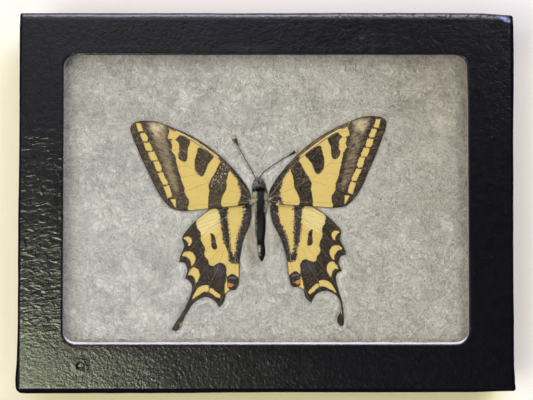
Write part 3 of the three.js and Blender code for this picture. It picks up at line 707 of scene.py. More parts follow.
FOREWING_YELLOW = {
    "spot_1": [(33, 22), (31.9, 22), (31.1, 20.1), (31.3, 19.9), (32.4, 19.8)],
    "spot_2": [(32, 19.2), (30.6, 19.5), (29.8, 17.9), (30.1, 17.2), (31.1, 17.2)],
    "spot_3": [(31, 16.7), (29.4, 16.9), (28.7, 15.2), (28.9, 14.6), (30.2, 14.7)],
    "spot_4": [(29.8, 14.3), (28.2, 14.5), (27.3, 12.7), (27.4, 12.1), (29, 12.1)],
    "spot_5": [(28.4, 11.8), (27, 12), (26.1, 10), (26.4, 9.2), (27.5, 9.3)],
    "spot_6": [(27.3, 8.6), (26, 9), (24.5, 6.3), (24.7, 5.6), (25.8, 5.7)],
    "spot_7": [(25.7, 5.1), (24.2, 5.5), (23.4, 3.1), (23.6, 2.4), (24.5, 2.1)],
    "spot_8": [(23.8, 1.7), (22.6, 1.9), (22.4, 1.2), (22.4, -0.6), (23.4, 0.9)],
    "subapical_upper": [(24, 20.1), (22.6, 19.8), (21.3, 19), (21.8, 18.4), (22.5, 17.8), (24.5, 17.9),
                        (24.4, 18.8)],
    "subapical_lower": [(23.8, 17.4), (22.2, 17.3), (21.6, 16), (21.5, 14.5), (22, 13.4), (22.4, 13.2),
                        (23.6, 14.8), (23.3, 16), (23.6, 16.9)],
}
FOREWING_WORN = {
    "band": [(25, 20.6), (28.6, 19.5), (28, 16.5), (26.4, 12), (25, 8), (23.4, 4.6), (22, 3), (21.6, 5),
             (22.4, 8.5), (23.5, 12.5), (24.4, 16.5)],
    "tip": [(25, 21.8), (27.6, 22.6), (30.3, 22.4), (29.8, 20.6), (28.6, 18.4), (26.8, 18.2), (25.6, 20)],
}
FOREWING_COSTA = [(24.5, 20.9), (21.3, 19.2), (18.6, 17.6), (16, 15.95), (13.3, 14.1), (11, 12.4), (8, 9.4),
                  (5, 5.5), (2.4, 2), (1, 6), (6, 12), (14, 19), (23, 23)]
FOREWING_STREAK = [(22.3, 19.8), (21.3, 19.4), (18.6, 18), (16, 16.4), (13.3, 14.5), (11, 12.8)]
FOREWING_VEINS = [
    [(19, 10.7), (17.4, 9.5), (15.8, 8.2), (14, 6.9), (11.5, 5.8), (10, 4.9), (8.5, 4.3), (5.5, 3.2),
     (2, 1.5)],
    [(2.3, 2.5), (6.1, 7), (8, 9.4), (10.5, 11.9), (12.5, 13.5), (15, 15.2), (17.5, 16.8), (19.5, 17.9),
     (22, 19.2), (25, 20.6)],
    [(22, 18.9), (27, 19.6), (31.9, 19.7), (34.3, 19.6)],
    [(21.6, 17.6), (26, 17.3), (30.5, 17), (33.4, 16.7)],
    [(21.5, 15), (25, 14.7), (29.6, 14.4), (32.1, 14)],
    [(21.3, 13.4), (25, 12.8), (28.5, 12), (31, 11.5)],
    [(19.1, 10.7), (22, 10.4), (27.4, 9), (29.6, 8.5)],
    [(16.3, 8.5), (21, 7.4), (25.8, 5.5), (27.8, 4.7)],
    [(13, 6.5), (18, 4.6), (22, 3), (24.6, 2), (25.9, 1.4)],
    [(2.5, 1), (8, 0.6), (15, 0.3), (19.5, -0.2), (22.6, -1)],
    [(19.1, 10.7), (20.3, 11.6), (21.3, 13.4), (21.5, 15), (21.6, 17.6)],
]

HINDWING_DARK = {
    "margin": [(16.9, -3.2), (17, -4.6), (16.8, -5.3), (16.6, -6.1), (16, -6.7), (15.7, -7.8), (15.7, -9.1),
               (15.2, -10.1), (14.7, -11.2), (14.6, -12), (14.8, -12.7), (14.4, -13.8), (13.7, -14.6),
               (13.6, -15.4), (13, -15.9), (12.3, -15.9), (11.6, -15.5), (10.8, -15.1), (9.8, -15.3),
               (9.2, -15.8), (8.9, -16.7), (8.9, -17.8), (8.8, -18.7), (8.9, -19.6), (9.3, -21),
               (9.3, -23.3), (8.6, -26), (11, -30), (15, -30), (15, -38), (26, -37), (26, -20), (24, -10),
               (20, -4)],
    "eyespot": [(8.9, -18.6), (8.65, -18.8), (8, -18.2), (7.2, -18.1), (6.4, -18.5), (5.9, -19),
                (5.6, -19.8), (5.7, -20.9), (6, -21.8), (6.6, -22.4), (7.4, -22.4), (8.1, -22.3),
                (8.6, -21.7), (8.7, -20.5)],
    "discal_bar": [(13.2, -7.3), (12.8, -7.3), (12, -8.1), (11.7, -9.5), (11.4, -11.2), (11.7, -11.6),
                   (12.4, -11.5), (12.9, -11), (13, -9.2), (13.1, -8.1)],
    "inner_stripes": [(11.7, 1), (11.5, -0.8), (10.9, -2.3), (10.6, -3.9), (10.4, -5.5), (10.2, -7.2),
                      (9.8, -9.2), (9.2, -10.9), (8.5, -12.6), (8.5, -13.8), (8.2, -14.8), (7.4, -15.4),
                      (6.4, -15.5), (5.5, -15.3), (4, -15), (2, -9), (0, -4), (0, 1), (5, 4)],
}
HINDWING_YELLOW = {
    "lunule_1": [(20.3, -8.7), (19.4, -8.2), (18.5, -8.5), (18.2, -9.3), (18.4, -10.1), (19, -10.7),
                 (19.1, -9.9), (19.5, -9.3)],
    "lunule_2": [(20.7, -13.3), (20.1, -12.4), (19, -12.1), (18, -12.5), (17.3, -13.5), (17.3, -14.6),
                 (17.8, -15.6), (18.2, -16), (18.4, -14.9), (19.1, -13.9), (19.8, -13.4)],
    "lunule_3": [(19.1, -18.4), (18.6, -17.2), (17.8, -16.4), (16.9, -16.6), (16.2, -17.5), (16.1, -18.7),
                 (16.5, -19.9), (17, -20.6), (17.2, -19.7), (17.7, -18.8), (18.4, -18.4)],
    "lunule_4": [(18, -24.8), (17.4, -23.3), (16.7, -22.1), (15.7, -21.4), (14.6, -21.1), (13.8, -21.2),
                 (13.6, -21.9), (13.8, -22.8), (14.8, -22.8), (15.7, -23.3), (16.8, -24)],
    "lunule_5": [(13.5, -22.8), (13.3, -22), (12.7, -22), (11.9, -22.7), (11, -23.4), (10.5, -23.9),
                 (10.8, -24.5), (11.6, -24.2), (12.4, -23.6)],
    "wedge": [(8.4, 2), (8.5, -1), (8.6, -2.7), (8.5, -4.1), (8.2, -6), (8, -7.9), (7.9, -9.7),
              (7.7, -11.3), (7.3, -12.7), (7, -13.3), (6.7, -12.4), (6.5, -10.7), (6.3, -9.2), (5.9, -7.6),
              (5.3, -5.9), (4.8, -3.9), (4.4, -2), (4.5, -0.8), (4.6, 2)],
}
HINDWING_BLUE = {
    "crescent": [(8.3, -19.1), (7.6, -18.9), (6.8, -19), (6.3, -19.5), (6.9, -19.5), (7.6, -19.3),
                 (8.2, -19.5)],
    "lobe": [(12.3, -16.4), (10.8, -15.9), (9.7, -16.4), (9.6, -17.8), (10.4, -18.8), (11.8, -18.4),
             (12.6, -17.4)],
}
HINDWING_ORANGE = {
    "eyespot": [(8.8, -20.2), (7.5, -20.6), (6.5, -21.1), (7.2, -21.3), (7.8, -21.8), (8.6, -21.6)],
}
HINDWING_PALE = {"costa": [(9, 1.5), (14.5, 0), (17.5, -4), (16.6, -6.2), (15, -8), (12, -6.5), (10.8, -3)]}
HINDWING_VEINS = [
    [(3, 0.5), (9, -0.6), (14, -2.5), (18, -5.5), (20.7, -9)],
    [(8.5, -2.5), (14.5, -7), (18.4, -11.5), (21.4, -14.8)],
    [(10.5, -7), (14, -11.5), (17.3, -15.8), (19.8, -19.2)],
    [(11, -11.5), (14, -16), (17, -20.5), (18.3, -23.5), (20.5, -28.5), (22.5, -32.5)],
    [(9.7, -12), (11.5, -17), (13.6, -22), (13.7, -24.4)],
    [(8.3, -11), (9, -17), (9.2, -21), (10.6, -26.5)],
    [(5.5, -5), (6.5, -12), (6.6, -19)],
]
LEFT_TAIL_EDGE = [(19.6, -28.9), (20.2, -30.2), (21.3, -32)]
RIGHT_TAIL_FLECK = [(18.7, -28.6), (18.9, -29.4), (18.8, -30.4)]


def smooth_line(points, steps, closed=False):
    """A curve through points of any dimension: each span is a cubic whose end slopes come from the
    neighbouring points, weighted by the square roots of their distances."""
    points = np.array(points, float)
    if closed:
        padded = np.vstack([points[-1:], points, points[:2]])
    else:
        padded = np.vstack([2 * points[0] - points[1], points, 2 * points[-1] - points[-2]])
    gap = np.sqrt(np.linalg.norm(np.diff(padded, axis=0), axis=1, keepdims=True))
    before, start, end, after = padded[:-3], padded[1:-2], padded[2:-1], padded[3:]
    gap_0, gap_1, gap_2 = gap[:-2], gap[1:-1], gap[2:]
    leave = ((start - before) / gap_0 - (end - before) / (gap_0 + gap_1) + (end - start) / gap_1) * gap_1
    arrive = ((end - start) / gap_1 - (after - start) / (gap_1 + gap_2) + (after - end) / gap_2) * gap_1
    t = (np.arange(steps) / steps)[None, :, None]
    start, end, leave, arrive = start[:, None], end[:, None], leave[:, None], arrive[:, None]
    curve = ((2 * t**3 - 3 * t**2 + 1) * start + (t**3 - 2 * t**2 + t) * leave
             + (3 * t**2 - 2 * t**3) * end + (t**3 - t**2) * arrive).reshape(-1, points.shape[1])
    return curve if closed else np.vstack([curve, points[-1:]])


def joined_outline(stretches, steps):
    """One closed outline from smooth stretches that meet at sharp corners."""
    return np.concatenate([smooth_line(stretch, steps)[:-1] for stretch in stretches])


def to_line(points, line, closed):
    """For each point the distance to the nearest edge of a line, the place on it, and whether the point is
    inside the closed line: a ray sideways from it then crosses an odd number of edges."""
    best = np.full(len(points), np.inf)
    place = np.zeros((len(points), 2))
    inside = np.zeros(len(points), bool)
    ends = np.roll(line, -1, axis=0) if closed else line[1:]
    x, y = points.T
    for start, end in zip(line, ends):
        edge = end - start
        part = np.clip(((points - start) @ edge) / max(edge @ edge, 1e-12), 0, 1)
        near = start + part[:, None] * edge
        distance = np.hypot(x - near[:, 0], y - near[:, 1])
        closer = distance < best
        best = np.where(closer, distance, best)
        place[closer] = near[closer]
        if closed and start[1] != end[1]:
            spans = (start[1] > y) != (end[1] > y)
            inside ^= spans & (x < edge[0] * (y - start[1]) / edge[1] + start[0])
    return best, place, inside


def depth_in(points, shapes, steps=4):
    """How deep each point lies inside any of several smooth closed shapes, negative outside them all."""
    deepest = np.full(len(points), -FAR)
    for shape in shapes:
        distance, _, inside = to_line(points, smooth_line(shape, steps, True), True)
        deepest = np.maximum(deepest, np.where(inside, distance, -distance))
    return deepest


def away_from(points, lines, steps=4):
    """Distance of each point from the nearest of several smooth open lines."""
    return np.min([to_line(points, smooth_line(line, steps), False)[0] for line in lines], axis=0)


def lay(points, how):
    """Swings, shortens and shifts points of the left wing's plan to where a wing lies."""
    swing, reach, shift = how
    angle = np.radians(swing)
    turn = np.array([[np.cos(angle), np.sin(angle)], [-np.sin(angle), np.cos(angle)]])
    return reach * (points @ turn) + shift


def unlay(points, how):
    """Undoes lay()."""
    swing, reach, shift = how
    angle = np.radians(swing)
    turn = np.array([[np.cos(angle), -np.sin(angle)], [np.sin(angle), np.cos(angle)]])
    return (points - shift) / reach @ turn


def plan_of(name):
    """The wing's outline in the left wing's plan."""
    if name.startswith("forewing"):
        return joined_outline(FOREWING_OUTLINE, 10)
    tail = LEFT_TAIL if name == "hindwing_left" else RIGHT_TAIL
    return joined_outline([*HINDWING_SIDE, tail, *HINDWING_INNER], 10)


def grid_squares(rows, columns):
    """The corners of each square of a grid whose points are numbered row by row, anticlockwise."""
    number = np.arange(rows * columns).reshape(rows, columns)
    corners = [number[:-1, :-1], number[:-1, 1:], number[1:, 1:], number[1:, :-1]]
    return np.stack(corners, axis=-1).reshape(-1, 4)


def sheet_grid(outline):
    """Covers an outline with small squares: a square stays when its four corners lie inside or within half a
    step of the outline, and the corners left on the rim are drawn onto the outline. Gives the points, the
    squares and the rim's edges, which keep the squares' direction of turn."""
    low, high = outline.min(0) - WING_GRID, outline.max(0) + WING_GRID
    columns, rows = np.ceil((high - low) / WING_GRID).astype(int) + 1
    grid = np.meshgrid(low[0] + WING_GRID * np.arange(columns), low[1] + WING_GRID * np.arange(rows))
    points = np.column_stack([part.ravel() for part in grid])
    distance, place, inside = to_line(points, outline, True)
    kept = inside | (distance < WING_GRID / 2)
    squares = grid_squares(rows, columns)
    squares = squares[kept[squares].all(axis=1)]
    used, squares = np.unique(squares, return_inverse=True)
    squares = squares.reshape(-1, 4)
    points, place, inside = points[used], place[used], inside[used]
    edges = np.stack([squares, np.roll(squares, -1, axis=1)], axis=-1).reshape(-1, 2)
    key = np.sort(edges, axis=1) @ [len(used), 1]
    _, first, times = np.unique(key, return_index=True, return_counts=True)
    rim = edges[first[times == 1]]
    on_rim = np.zeros(len(used), bool)
    on_rim[rim.ravel()] = True
    return np.where((on_rim | ~inside)[:, None], place, points), squares, rim


def wing_height(plan, veins, is_forewing):
    """Height of the membrane's middle: a level sheet that dips towards the root, with shallow fan pleats,
    veins that stand up and a slight wave. The hindwing's front edge has finer folds."""
    arm = plan - WING_ROOT
    distance = np.hypot(*arm.T)
    bearing = np.degrees(np.arctan2(arm[:, 1], arm[:, 0]))
    dip = ROOT_DIP * (1 - ease(distance, 1, ROOT_DIP_REACH))
    pleat = PLEAT_HEIGHT * np.cos(np.radians(bearing) * 360 / PLEAT_ANGLE) * ease(distance, 0, 8)
    vein = VEIN_HEIGHT * np.exp(-(veins / VEIN_HALF_WIDTH) ** 2)
    wave = hills(*plan.T, WING_WAVES)
    height = FOREWING_HEIGHT if is_forewing else HINDWING_HEIGHT
    fold = 0.0
    if not is_forewing:
        front = ease(bearing, -42, -30) * ease(distance, 7, 10) * (1 - ease(distance, 18, 21))
        fold = FRONT_FOLD_HEIGHT * front * np.sin(np.radians(bearing) * 105)
    return height - dip + pleat + vein + wave + fold


def forewing_marks(plan):
    """The pattern on a forewing as numbers on its points: the depth in millimetres inside each mark that has
    a sharp edge, and the strength of each that has a soft one."""
    dark = depth_in(plan, FOREWING_DARK.values(), 2)
    yellow = depth_in(plan, FOREWING_YELLOW.values(), 1)
    base = depth_in(plan, [FOREWING_DARK["base"]])
    return {
        "dark": np.minimum(dark, -yellow),
        "soft": ease(base, -1, 0.5),
        "worn": ease(depth_in(plan, [FOREWING_WORN["band"]]), -0.5, 1.2),
        "bleached": ease(depth_in(plan, [FOREWING_WORN["tip"]], 1), -0.6, 1.6),
        "costa": depth_in(plan, [FOREWING_COSTA]),
        "streak": away_from(plan, [FOREWING_STREAK]),
        "fleck": ease(depth_in(plan, [FOREWING_DARK["median_band"]]), 0.2, 0.9) * ease(plan[:, 1], 4, 6.5),
    }


def hindwing_marks(plan, is_left):
    """The pattern on a hindwing, as forewing_marks gives it."""
    dark = depth_in(plan, HINDWING_DARK.values())
    yellow = depth_in(plan, HINDWING_YELLOW.values())
    tail_line = LEFT_TAIL_EDGE if is_left else RIGHT_TAIL_FLECK
    yellow = np.maximum(yellow, TAIL_LINE_HALF_WIDTH - away_from(plan, [tail_line]))
    stripes = depth_in(plan, [HINDWING_DARK["inner_stripes"]])
    crescent = ease(depth_in(plan, [HINDWING_BLUE["crescent"]]), -0.15, 0.15)
    lobe = ease(depth_in(plan, [HINDWING_BLUE["lobe"]]), -0.9, 0.7)
    return {
        "dark": np.minimum(dark, -yellow),
        "soft": ease(stripes, -1, 0.5),
        "blue": np.maximum(crescent, LOBE_BLUENESS * lobe),
        "orange": depth_in(plan, HINDWING_ORANGE.values(), 1),
        "pale": ease(depth_in(plan, [HINDWING_PALE["costa"]]), -1.2, 1),
    }


def make_wing(name, material):
    """Two skins over the wing's grid, a membrane apart and stitched together round the rim."""
    is_forewing = name.startswith("forewing")
    spread = SPREAD[name]
    plan, squares, rim = sheet_grid(plan_of(name))
    laid = lay(plan, spread["wing"])
    pattern = unlay(laid, spread["pattern"])
    veins = away_from(pattern, FOREWING_VEINS if is_forewing else HINDWING_VEINS)
    marks = {key: np.full(len(plan), float(value)) for key, value in NO_MARKS.items()}
    marks |= forewing_marks(pattern) if is_forewing else hindwing_marks(pattern, name == "hindwing_left")
    marks["vein"] = veins
    is_dusty = name == "forewing_left"
    marks["dust"] = (0.3 + 0.7 * marks["worn"]) * (1 - marks["soft"]) * is_dusty
    marks["bleached"] = marks["bleached"] * (LEFT_BLEACHING if is_dusty else 1)
    marks["fleck"] = marks["fleck"] * (1 if is_dusty else RIGHT_FLECKING)
    marks["rows"] = np.full(len(plan), 1.0 if is_forewing else HINDWING_ROWS_SHOWN)
    marks["rim"] = to_line(plan, plan_of(name), True)[0]
    arm = plan - WING_ROOT
    marks["root"] = np.hypot(*arm.T)
    marks["fan"] = SCALE_ROW_ARM * np.arctan2(arm[:, 1], arm[:, 0]) + 100 * spread["side"]
    height = wing_height(plan, veins, is_forewing)
    x = BUTTERFLY_CENTRE[0] + spread["side"] * laid[:, 0]
    y = BUTTERFLY_CENTRE[1] + laid[:, 1]
    upper, lower = (np.column_stack([x, y, height + side * WING_THICKNESS / 2]) for side in (1, -1))
    count = len(plan)
    walls = np.column_stack([rim[:, 0], rim[:, 0] + count, rim[:, 1] + count, rim[:, 1]])
    faces = np.concatenate([squares, squares[:, ::-1] + count, walls])
    if spread["side"] < 0:
        faces = faces[:, ::-1]
    attributes = {key: np.tile(values, 2) for key, values in marks.items()}
    wing = make_piece(f"scaled_{name}", np.vstack([upper, lower]), [faces], material, attributes)
    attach(wing, "root")
    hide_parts(name)
    return wing


WING_YELLOW = "#d6c077"
WING_YELLOW_DEEP = "#c9ae62"
WING_CREAM = "#ddd09a"
WING_DARK = "#281d16"
WING_BLACK = "#1a1310"
WING_WORN = "#96866d"
WING_BLEACHED = "#cdbf9f"
WING_TAN = "#85714f"
WING_BLUE = "#5c5b71"
WING_ORANGE = "#bd7f48"
WING_OCHRE = "#a88f50"
VEIN_OCHRE = "#8a7038"
COSTA_BROWN = "#40342a"
COSTA_STREAK = "#e0cb94"
ROOT_BLACK = "#19171a"
ROOT_DUST = "#8e8987"
SCALE_ROW_BROWN = "#7b674d"
SCALE_SPECK = "#b3a283"
BAND_FLECK = "#c9c0a8"
VEIN_GREY = "#938876"
WING_ROUGHNESS = 0.62
WING_RELIEF = 0.02
WING_SHINE = 0.1


def wing_scale_finish():
    """Dusty scales: each mark is cut from its stored depth, with an edge roughened by noise as scales stand
    apart. Veins draw thin lines, wear thins the dark scales, and a fine grain covers everything."""
    scales = Finish("wing_scales")
    rows = scales.node("ShaderNodeCombineXYZ", inputs={
        "X": scales.read("root") * SCALE_ROW_STRETCH, "Y": scales.read("fan")})
    streaks = scales.noise(0.4, 3, 0.65, place=rows)
    grain = scales.noise(0.5, 3, 0.7)
    patch = scales.noise(2.2, 3, 0.6)
    speckle = scales.noise(0.3, 2, 0.7)
    edge = (grain - 0.5) * 0.6 + (speckle - 0.5) * 0.5
    soft = scales.read("soft")
    ragged = edge * (1 + 3 * soft)
    dark = (scales.read("dark") + ragged).ramp(-0.1, 0.1)
    vein = scales.read("vein")
    vein_line = (vein + edge * 0.2).ramp(0.13, 0.03)

    yellow = scales.layered(
        WING_YELLOW,
        (patch, WING_YELLOW_DEEP),
        (scales.read("pale") * 0.7, WING_CREAM),
        ((grain - 0.35) * 0.35, WING_CREAM),
        ((streaks.ramp(0.45, 0.7) + speckle.ramp(0.5, 0.75)) * 0.2, WING_OCHRE),
        (vein_line * 0.45, VEIN_OCHRE),
    )
    costa = (scales.read("costa") + edge * 0.5).ramp(-0.1, 0.15)
    costa_line = (scales.read("streak") + edge * 0.15).ramp(0.2, 0.06)
    costal = scales.layered(WING_TAN, (streaks.ramp(0.38, 0.6), COSTA_BROWN), (costa_line, COSTA_STREAK))
    ground = scales.mix(costa, yellow, costal)

    rows_shown = scales.read("rows") * (0.5 - 0.3 * soft)
    worn = scales.read("worn") * (0.5 * scales.noise(1.5, 3, 0.65) + 0.5 * streaks).ramp(0.34, 0.6)
    bleached = scales.read("bleached") * (0.3 * patch + 0.4 * streaks + 0.3 * speckle).ramp(0.36, 0.56)
    dust = 0.2 * streaks + 0.25 * patch.ramp(0.4, 0.65) + 0.4 * speckle.ramp(0.5, 0.64)
    flecks = scales.read("fleck") * scales.noise(0.42, 1).ramp(0.58, 0.68)
    black = scales.layered(
        WING_DARK,
        (patch.ramp(0.3, 0.6), WING_BLACK),
        (soft * 0.8, ROOT_BLACK),
        (soft * speckle.ramp(0.54, 0.66) * 0.45, ROOT_DUST),
        (streaks.ramp(0.52, 0.68) * rows_shown, SCALE_ROW_BROWN),
        (speckle.ramp(0.6, 0.7) * 0.7, SCALE_SPECK),
        (worn * 0.8, WING_WORN),
        (bleached * 0.9, WING_BLEACHED),
        (scales.read("dust") * dust, WING_WORN),
        (flecks * 0.8, BAND_FLECK),
        (scales.read("blue") * (1.9 * speckle + 0.6 * grain - 0.4), WING_BLUE),
        ((scales.read("orange") + edge * 0.5).ramp(0, 0.25), WING_ORANGE),
        (vein_line * (0.3 + 0.35 * soft), VEIN_GREY),
    )

    rim = (scales.read("rim") + edge * 0.3).ramp(0.3, 0.08)
    return scales.surface(
        Base_Color=scales.layered(ground, (dark, black), (rim * 0.8, WING_BLACK)),
        Roughness=WING_ROUGHNESS + 0.2 * grain,
        Normal=scales.bump(grain + 0.5 * speckle, WING_RELIEF),
        Specular_IOR_Level=WING_SHINE,
    )


wing_finish = wing_scale_finish()
for wing_name in SPREAD:
    make_wing(wing_name, wing_finish)


# ---------------------------------------------------------------- batting
# One pad of white polyester fibre that fills the tray. The glass presses its face flat, and the insect lies
# bedded in it. Loose fibres curl over the pad in swirls.
# The pad is painted with shade beside the abdomen, between the hindwings and towards its upper and right
# sides.
BATTING_FLOOR = 1.5
BATTING_STEP = 0.42
BATTING_FULL = 15.95
BATTING_EDGE_DROP = 1.9
BUTTERFLY_REACH = 42
WING_BEDS = {"forewing": 15.85, "hindwing": 15.2}
BODY_BED = 11.3
WING_BED_RIM = (-0.3, 1.6)
BODY_BED_RIM = 15
BODY_RIM_RISE = 0.95
BODY_RIM_WIDTH = 2.2
BODY_BED_SPINE = np.array([[-0.35, 6.2], [0, 4], [0.15, 0], [0.15, -8], [0.5, -14.9]])
ANTENNA_BED = 15.5
ANTENNA_BED_DEPTH = 0.7
ANTENNA_BED_RIM = (0.3, 1.4)
PAD_LUMPS = ((0.16, 11, 31), (0.12, 4, 32), (0.08, 1.6, 33), (0.05, 0.8, 34))
ANTENNA_PATHS = {
    "antenna_left": [[-1.1, 7.2, 15.25], [-2.6, 10.1, 15.9], [-4.4, 13.3, 16.15], [-6, 16.4, 16.15],
                     [-7, 18.45, 16.15]],
    "antenna_right": [[-0.3, 7.2, 15.25], [0.8, 8.8, 15.75], [4.7, 11.6, 16.15], [8.3, 13.8, 16.15],
                      [10, 14.8, 16.15]],
}
FIBRE_COUNT = 15600
FIBRE_PIECES = 4
PAD_TONE = 0.28
FIBRE_POINTS = 9
FIBRE_LENGTH = (3, 11)
FIBRE_RADIUS = 0.048
FIBRE_SIDES = 3
SWIRL_SIZE = 8
SWIRL_TURN = 2.2 * np.pi
FIBRE_SCATTER = 0.9
FIBRE_BEND = 0.22
FIBRE_WOBBLE = 0.16
FIBRE_TOP = 16.6
FIBRE_ROUGHNESS = 0.9
FIBRE_RELIEF = 0.02
FIBRE_SHINE = 0.2
BATTING_WHITE = "#ffffff"
BATTING_GREY = "#929390"
# Warm greys for the pad's painted shade.
BATTING_SHADE_DARK = "#7d7466"
BATTING_SHADE_PALE = "#c2b7a5"
FINE_FIBRE_TURNS = (10, 55, 100, 145)
batting_low, batting_high = (np.array(corner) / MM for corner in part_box("batting"))


def batting_height(x, y):
    """Height of the pad's face: full height with soft lumps, rounded down at the tray's walls, sunk under the
    wings and body, whose beds have soft rims."""
    flat = np.column_stack([x.ravel(), y.ravel()])
    local = flat - BUTTERFLY_CENTRE
    close = abs(local).max(axis=1) < BUTTERFLY_REACH
    root = np.hypot(local[:, 0], local[:, 1] - WING_ROOT[1])
    sunk = ROOT_DIP * (1 - ease(root, 2, ROOT_DIP_REACH))
    lumps = hills(*flat.T, PAD_LUMPS)
    to_wall = np.minimum(batting_high[0] - abs(flat[:, 0]), batting_high[1] - abs(flat[:, 1]))
    drop = BATTING_EDGE_DROP * (1 - ease(to_wall, 0, 8))
    z = BATTING_FULL - drop + lumps
    for name, spread in SPREAD.items():
        outline = lay(plan_of(name)[::3], spread["wing"]) * [spread["side"], 1]
        distance, _, inside = to_line(local[close], outline, True)
        bed = 1 - ease(np.where(inside, -distance, distance), *WING_BED_RIM)
        floor = WING_BEDS[name.split("_")[0]] - sunk[close] + 0.4 * lumps[close] - 0.15
        z[close] = np.minimum(z[close], z[close] + (floor - z[close]) * bed)
    beside = to_line(local, BODY_BED_SPINE, False)[0]
    forward = local[:, 1]
    half = 1.35 + 0.7 * ease(forward, -3, 1) * ease(forward, 6.5, 4)
    half = half - 0.4 * ease(forward, -6, -10) - 0.7 * ease(forward, -12.9, -15)
    feelers = [[point[:2] for point in path] for path in ANTENNA_PATHS.values()]
    groove = np.full(len(local), FAR)
    groove[close] = away_from(local[close], feelers)
    z = np.minimum(z, ANTENNA_BED + ANTENNA_BED_DEPTH * ease(groove, *ANTENNA_BED_RIM))
    z = np.minimum(z, BODY_BED_RIM + BODY_RIM_RISE * ease(beside, half, half + BODY_RIM_WIDTH))
    z = z + (BODY_BED - z) * (1 - ease(beside, half - 0.5, half + 0.2))
    return z.reshape(x.shape)


def batting_finish():
    """White fibre: matte, each fibre with its own stored tone. Between them, finer fibres show as thin
    bright crests of noise drawn out along four directions, over the grey shadows of the pad's depth. The
    pad is looser towards its right side, where single fibres stand out more, and it is painted darker there.
    Where the stored painted shade lies, darker, warmer greys are painted in."""
    fibre = Finish("white_fibre")
    clouds = fibre.noise(5, 4, 0.6, distortion=1.5)
    crests = [abs(fibre.noise(0.6, 2, 0.5, (0.2, 1, 1), turn, 1.4) - 0.5).ramp(0.045, 0)
              for turn in FINE_FIBRE_TURNS]
    fine = crests[0]
    for crest in crests[1:]:
        fine = fine.most(crest)
    loose_and_shaded = fibre.axis("X").ramp(-35, 35)
    shade = 0.34 * clouds + (0.15 + 0.09 * loose_and_shaded) * fine + (0.34 + 0.34 * loose_and_shaded) * fibre.read("tone")
    # Towards the right the fibre is painted darker.
    light = (shade + 0.045 - 0.105 * loose_and_shaded).ramp(0.1, 0.8)
    white = fibre.mix(light, BATTING_GREY, BATTING_WHITE)
    painted_shaded = fibre.mix(light, BATTING_SHADE_DARK, BATTING_SHADE_PALE)
    return fibre.surface(
        Base_Color=fibre.mix(fibre.read("painted_shade") * 0.6, white, painted_shaded),
        Roughness=FIBRE_ROUGHNESS,
        Normal=fibre.bump(fine, FIBRE_RELIEF),
        Specular_IOR_Level=FIBRE_SHINE,
    )


def painted_shade(x, y):
    """How much painted shade the pad has: a painted shadow in a soft band beside the abdomen, painted shade
    in the hollow between the hindwings, and painted shade growing towards its upper and right sides."""
    forward = y - BUTTERFLY_CENTRE[1]
    middle = -4.2 + 0.9 * ease(forward, -12, -17)
    abdomen = np.exp(-((x - middle) / 1.2) ** 2) * ease(forward, -19, -14) * ease(forward, -1, -5)
    # Painted shade growing towards the pad's upper and right sides.
    dull = 0.3 * ease(x, 20, 45) * ease(y, -22, 2) + 0.58 * ease(x, -25, 45) + 0.2 * ease(y, 8, 30)
    hollow_shade = 0.5 * np.exp(-((x + 1.4) / 5) ** 2 - ((forward + 7.5) / 6) ** 2)
    return np.clip(dull + 0.05 * ease(x, 48, 54) + hollow_shade + abdomen, 0, 1.4)


def tubes(paths, radii, sides):
    """Closed tubes, one along each row of path points: a ring of points stands across the path at each point,
    and flat caps close both ends."""
    count, steps = paths.shape[:2]
    along = np.gradient(paths, axis=1)
    along /= np.linalg.norm(along, axis=2, keepdims=True)
    across = np.cross(along, [0.13, 0.07, 1])
    across /= np.linalg.norm(across, axis=2, keepdims=True)
    over = np.cross(along, across)
    turn = np.arange(sides)[:, None] / sides * 2 * np.pi
    rings = paths[:, :, None] + radii[:, :, None, None] * (
        np.cos(turn) * across[:, :, None] + np.sin(turn) * over[:, :, None])
    number = np.arange(count * steps * sides).reshape(count, steps, sides)
    turned = np.roll(number, -1, axis=2)
    walls = np.stack([number[:, :-1], turned[:, :-1], turned[:, 1:], number[:, 1:]], axis=-1).reshape(-1, 4)
    caps = np.concatenate([number[:, 0, ::-1], number[:, -1]])
    return rings.reshape(-1, 3), [walls, caps]


white_fibre = batting_finish()
columns, rows = (
    np.linspace(low, high, int((high - low) / BATTING_STEP))
    for low, high in zip(batting_low[:2], batting_high[:2]))
pad_x, pad_y = np.meshgrid(columns, rows)
pad_z = batting_height(pad_x, pad_y)
pad_number = np.arange(pad_x.size).reshape(pad_x.shape)
pad_rim = np.concatenate([
    pad_number[0, :-1], pad_number[:-1, -1], pad_number[-1, :0:-1], pad_number[:0:-1, 0]])
pad_top = np.column_stack([pad_x.ravel(), pad_y.ravel(), pad_z.ravel()])
pad_foot = pad_top[pad_rim] * [1, 1, 0] + [0, 0, BATTING_FLOOR]
foot_number = pad_x.size + np.arange(len(pad_rim))
pad_walls = np.column_stack([foot_number, np.roll(foot_number, -1), np.roll(pad_rim, -1), pad_rim])
pad_points = np.vstack([pad_top, pad_foot])
pad_looks = {"tone": np.full(len(pad_points), PAD_TONE), "painted_shade": painted_shade(*pad_points[:, :2].T)}
pad_faces = [grid_squares(*pad_x.shape), pad_walls, foot_number[None, ::-1]]
batting = make_piece("batting_pad", pad_points, pad_faces, white_fibre, pad_looks)
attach(batting, "root")
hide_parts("batting")


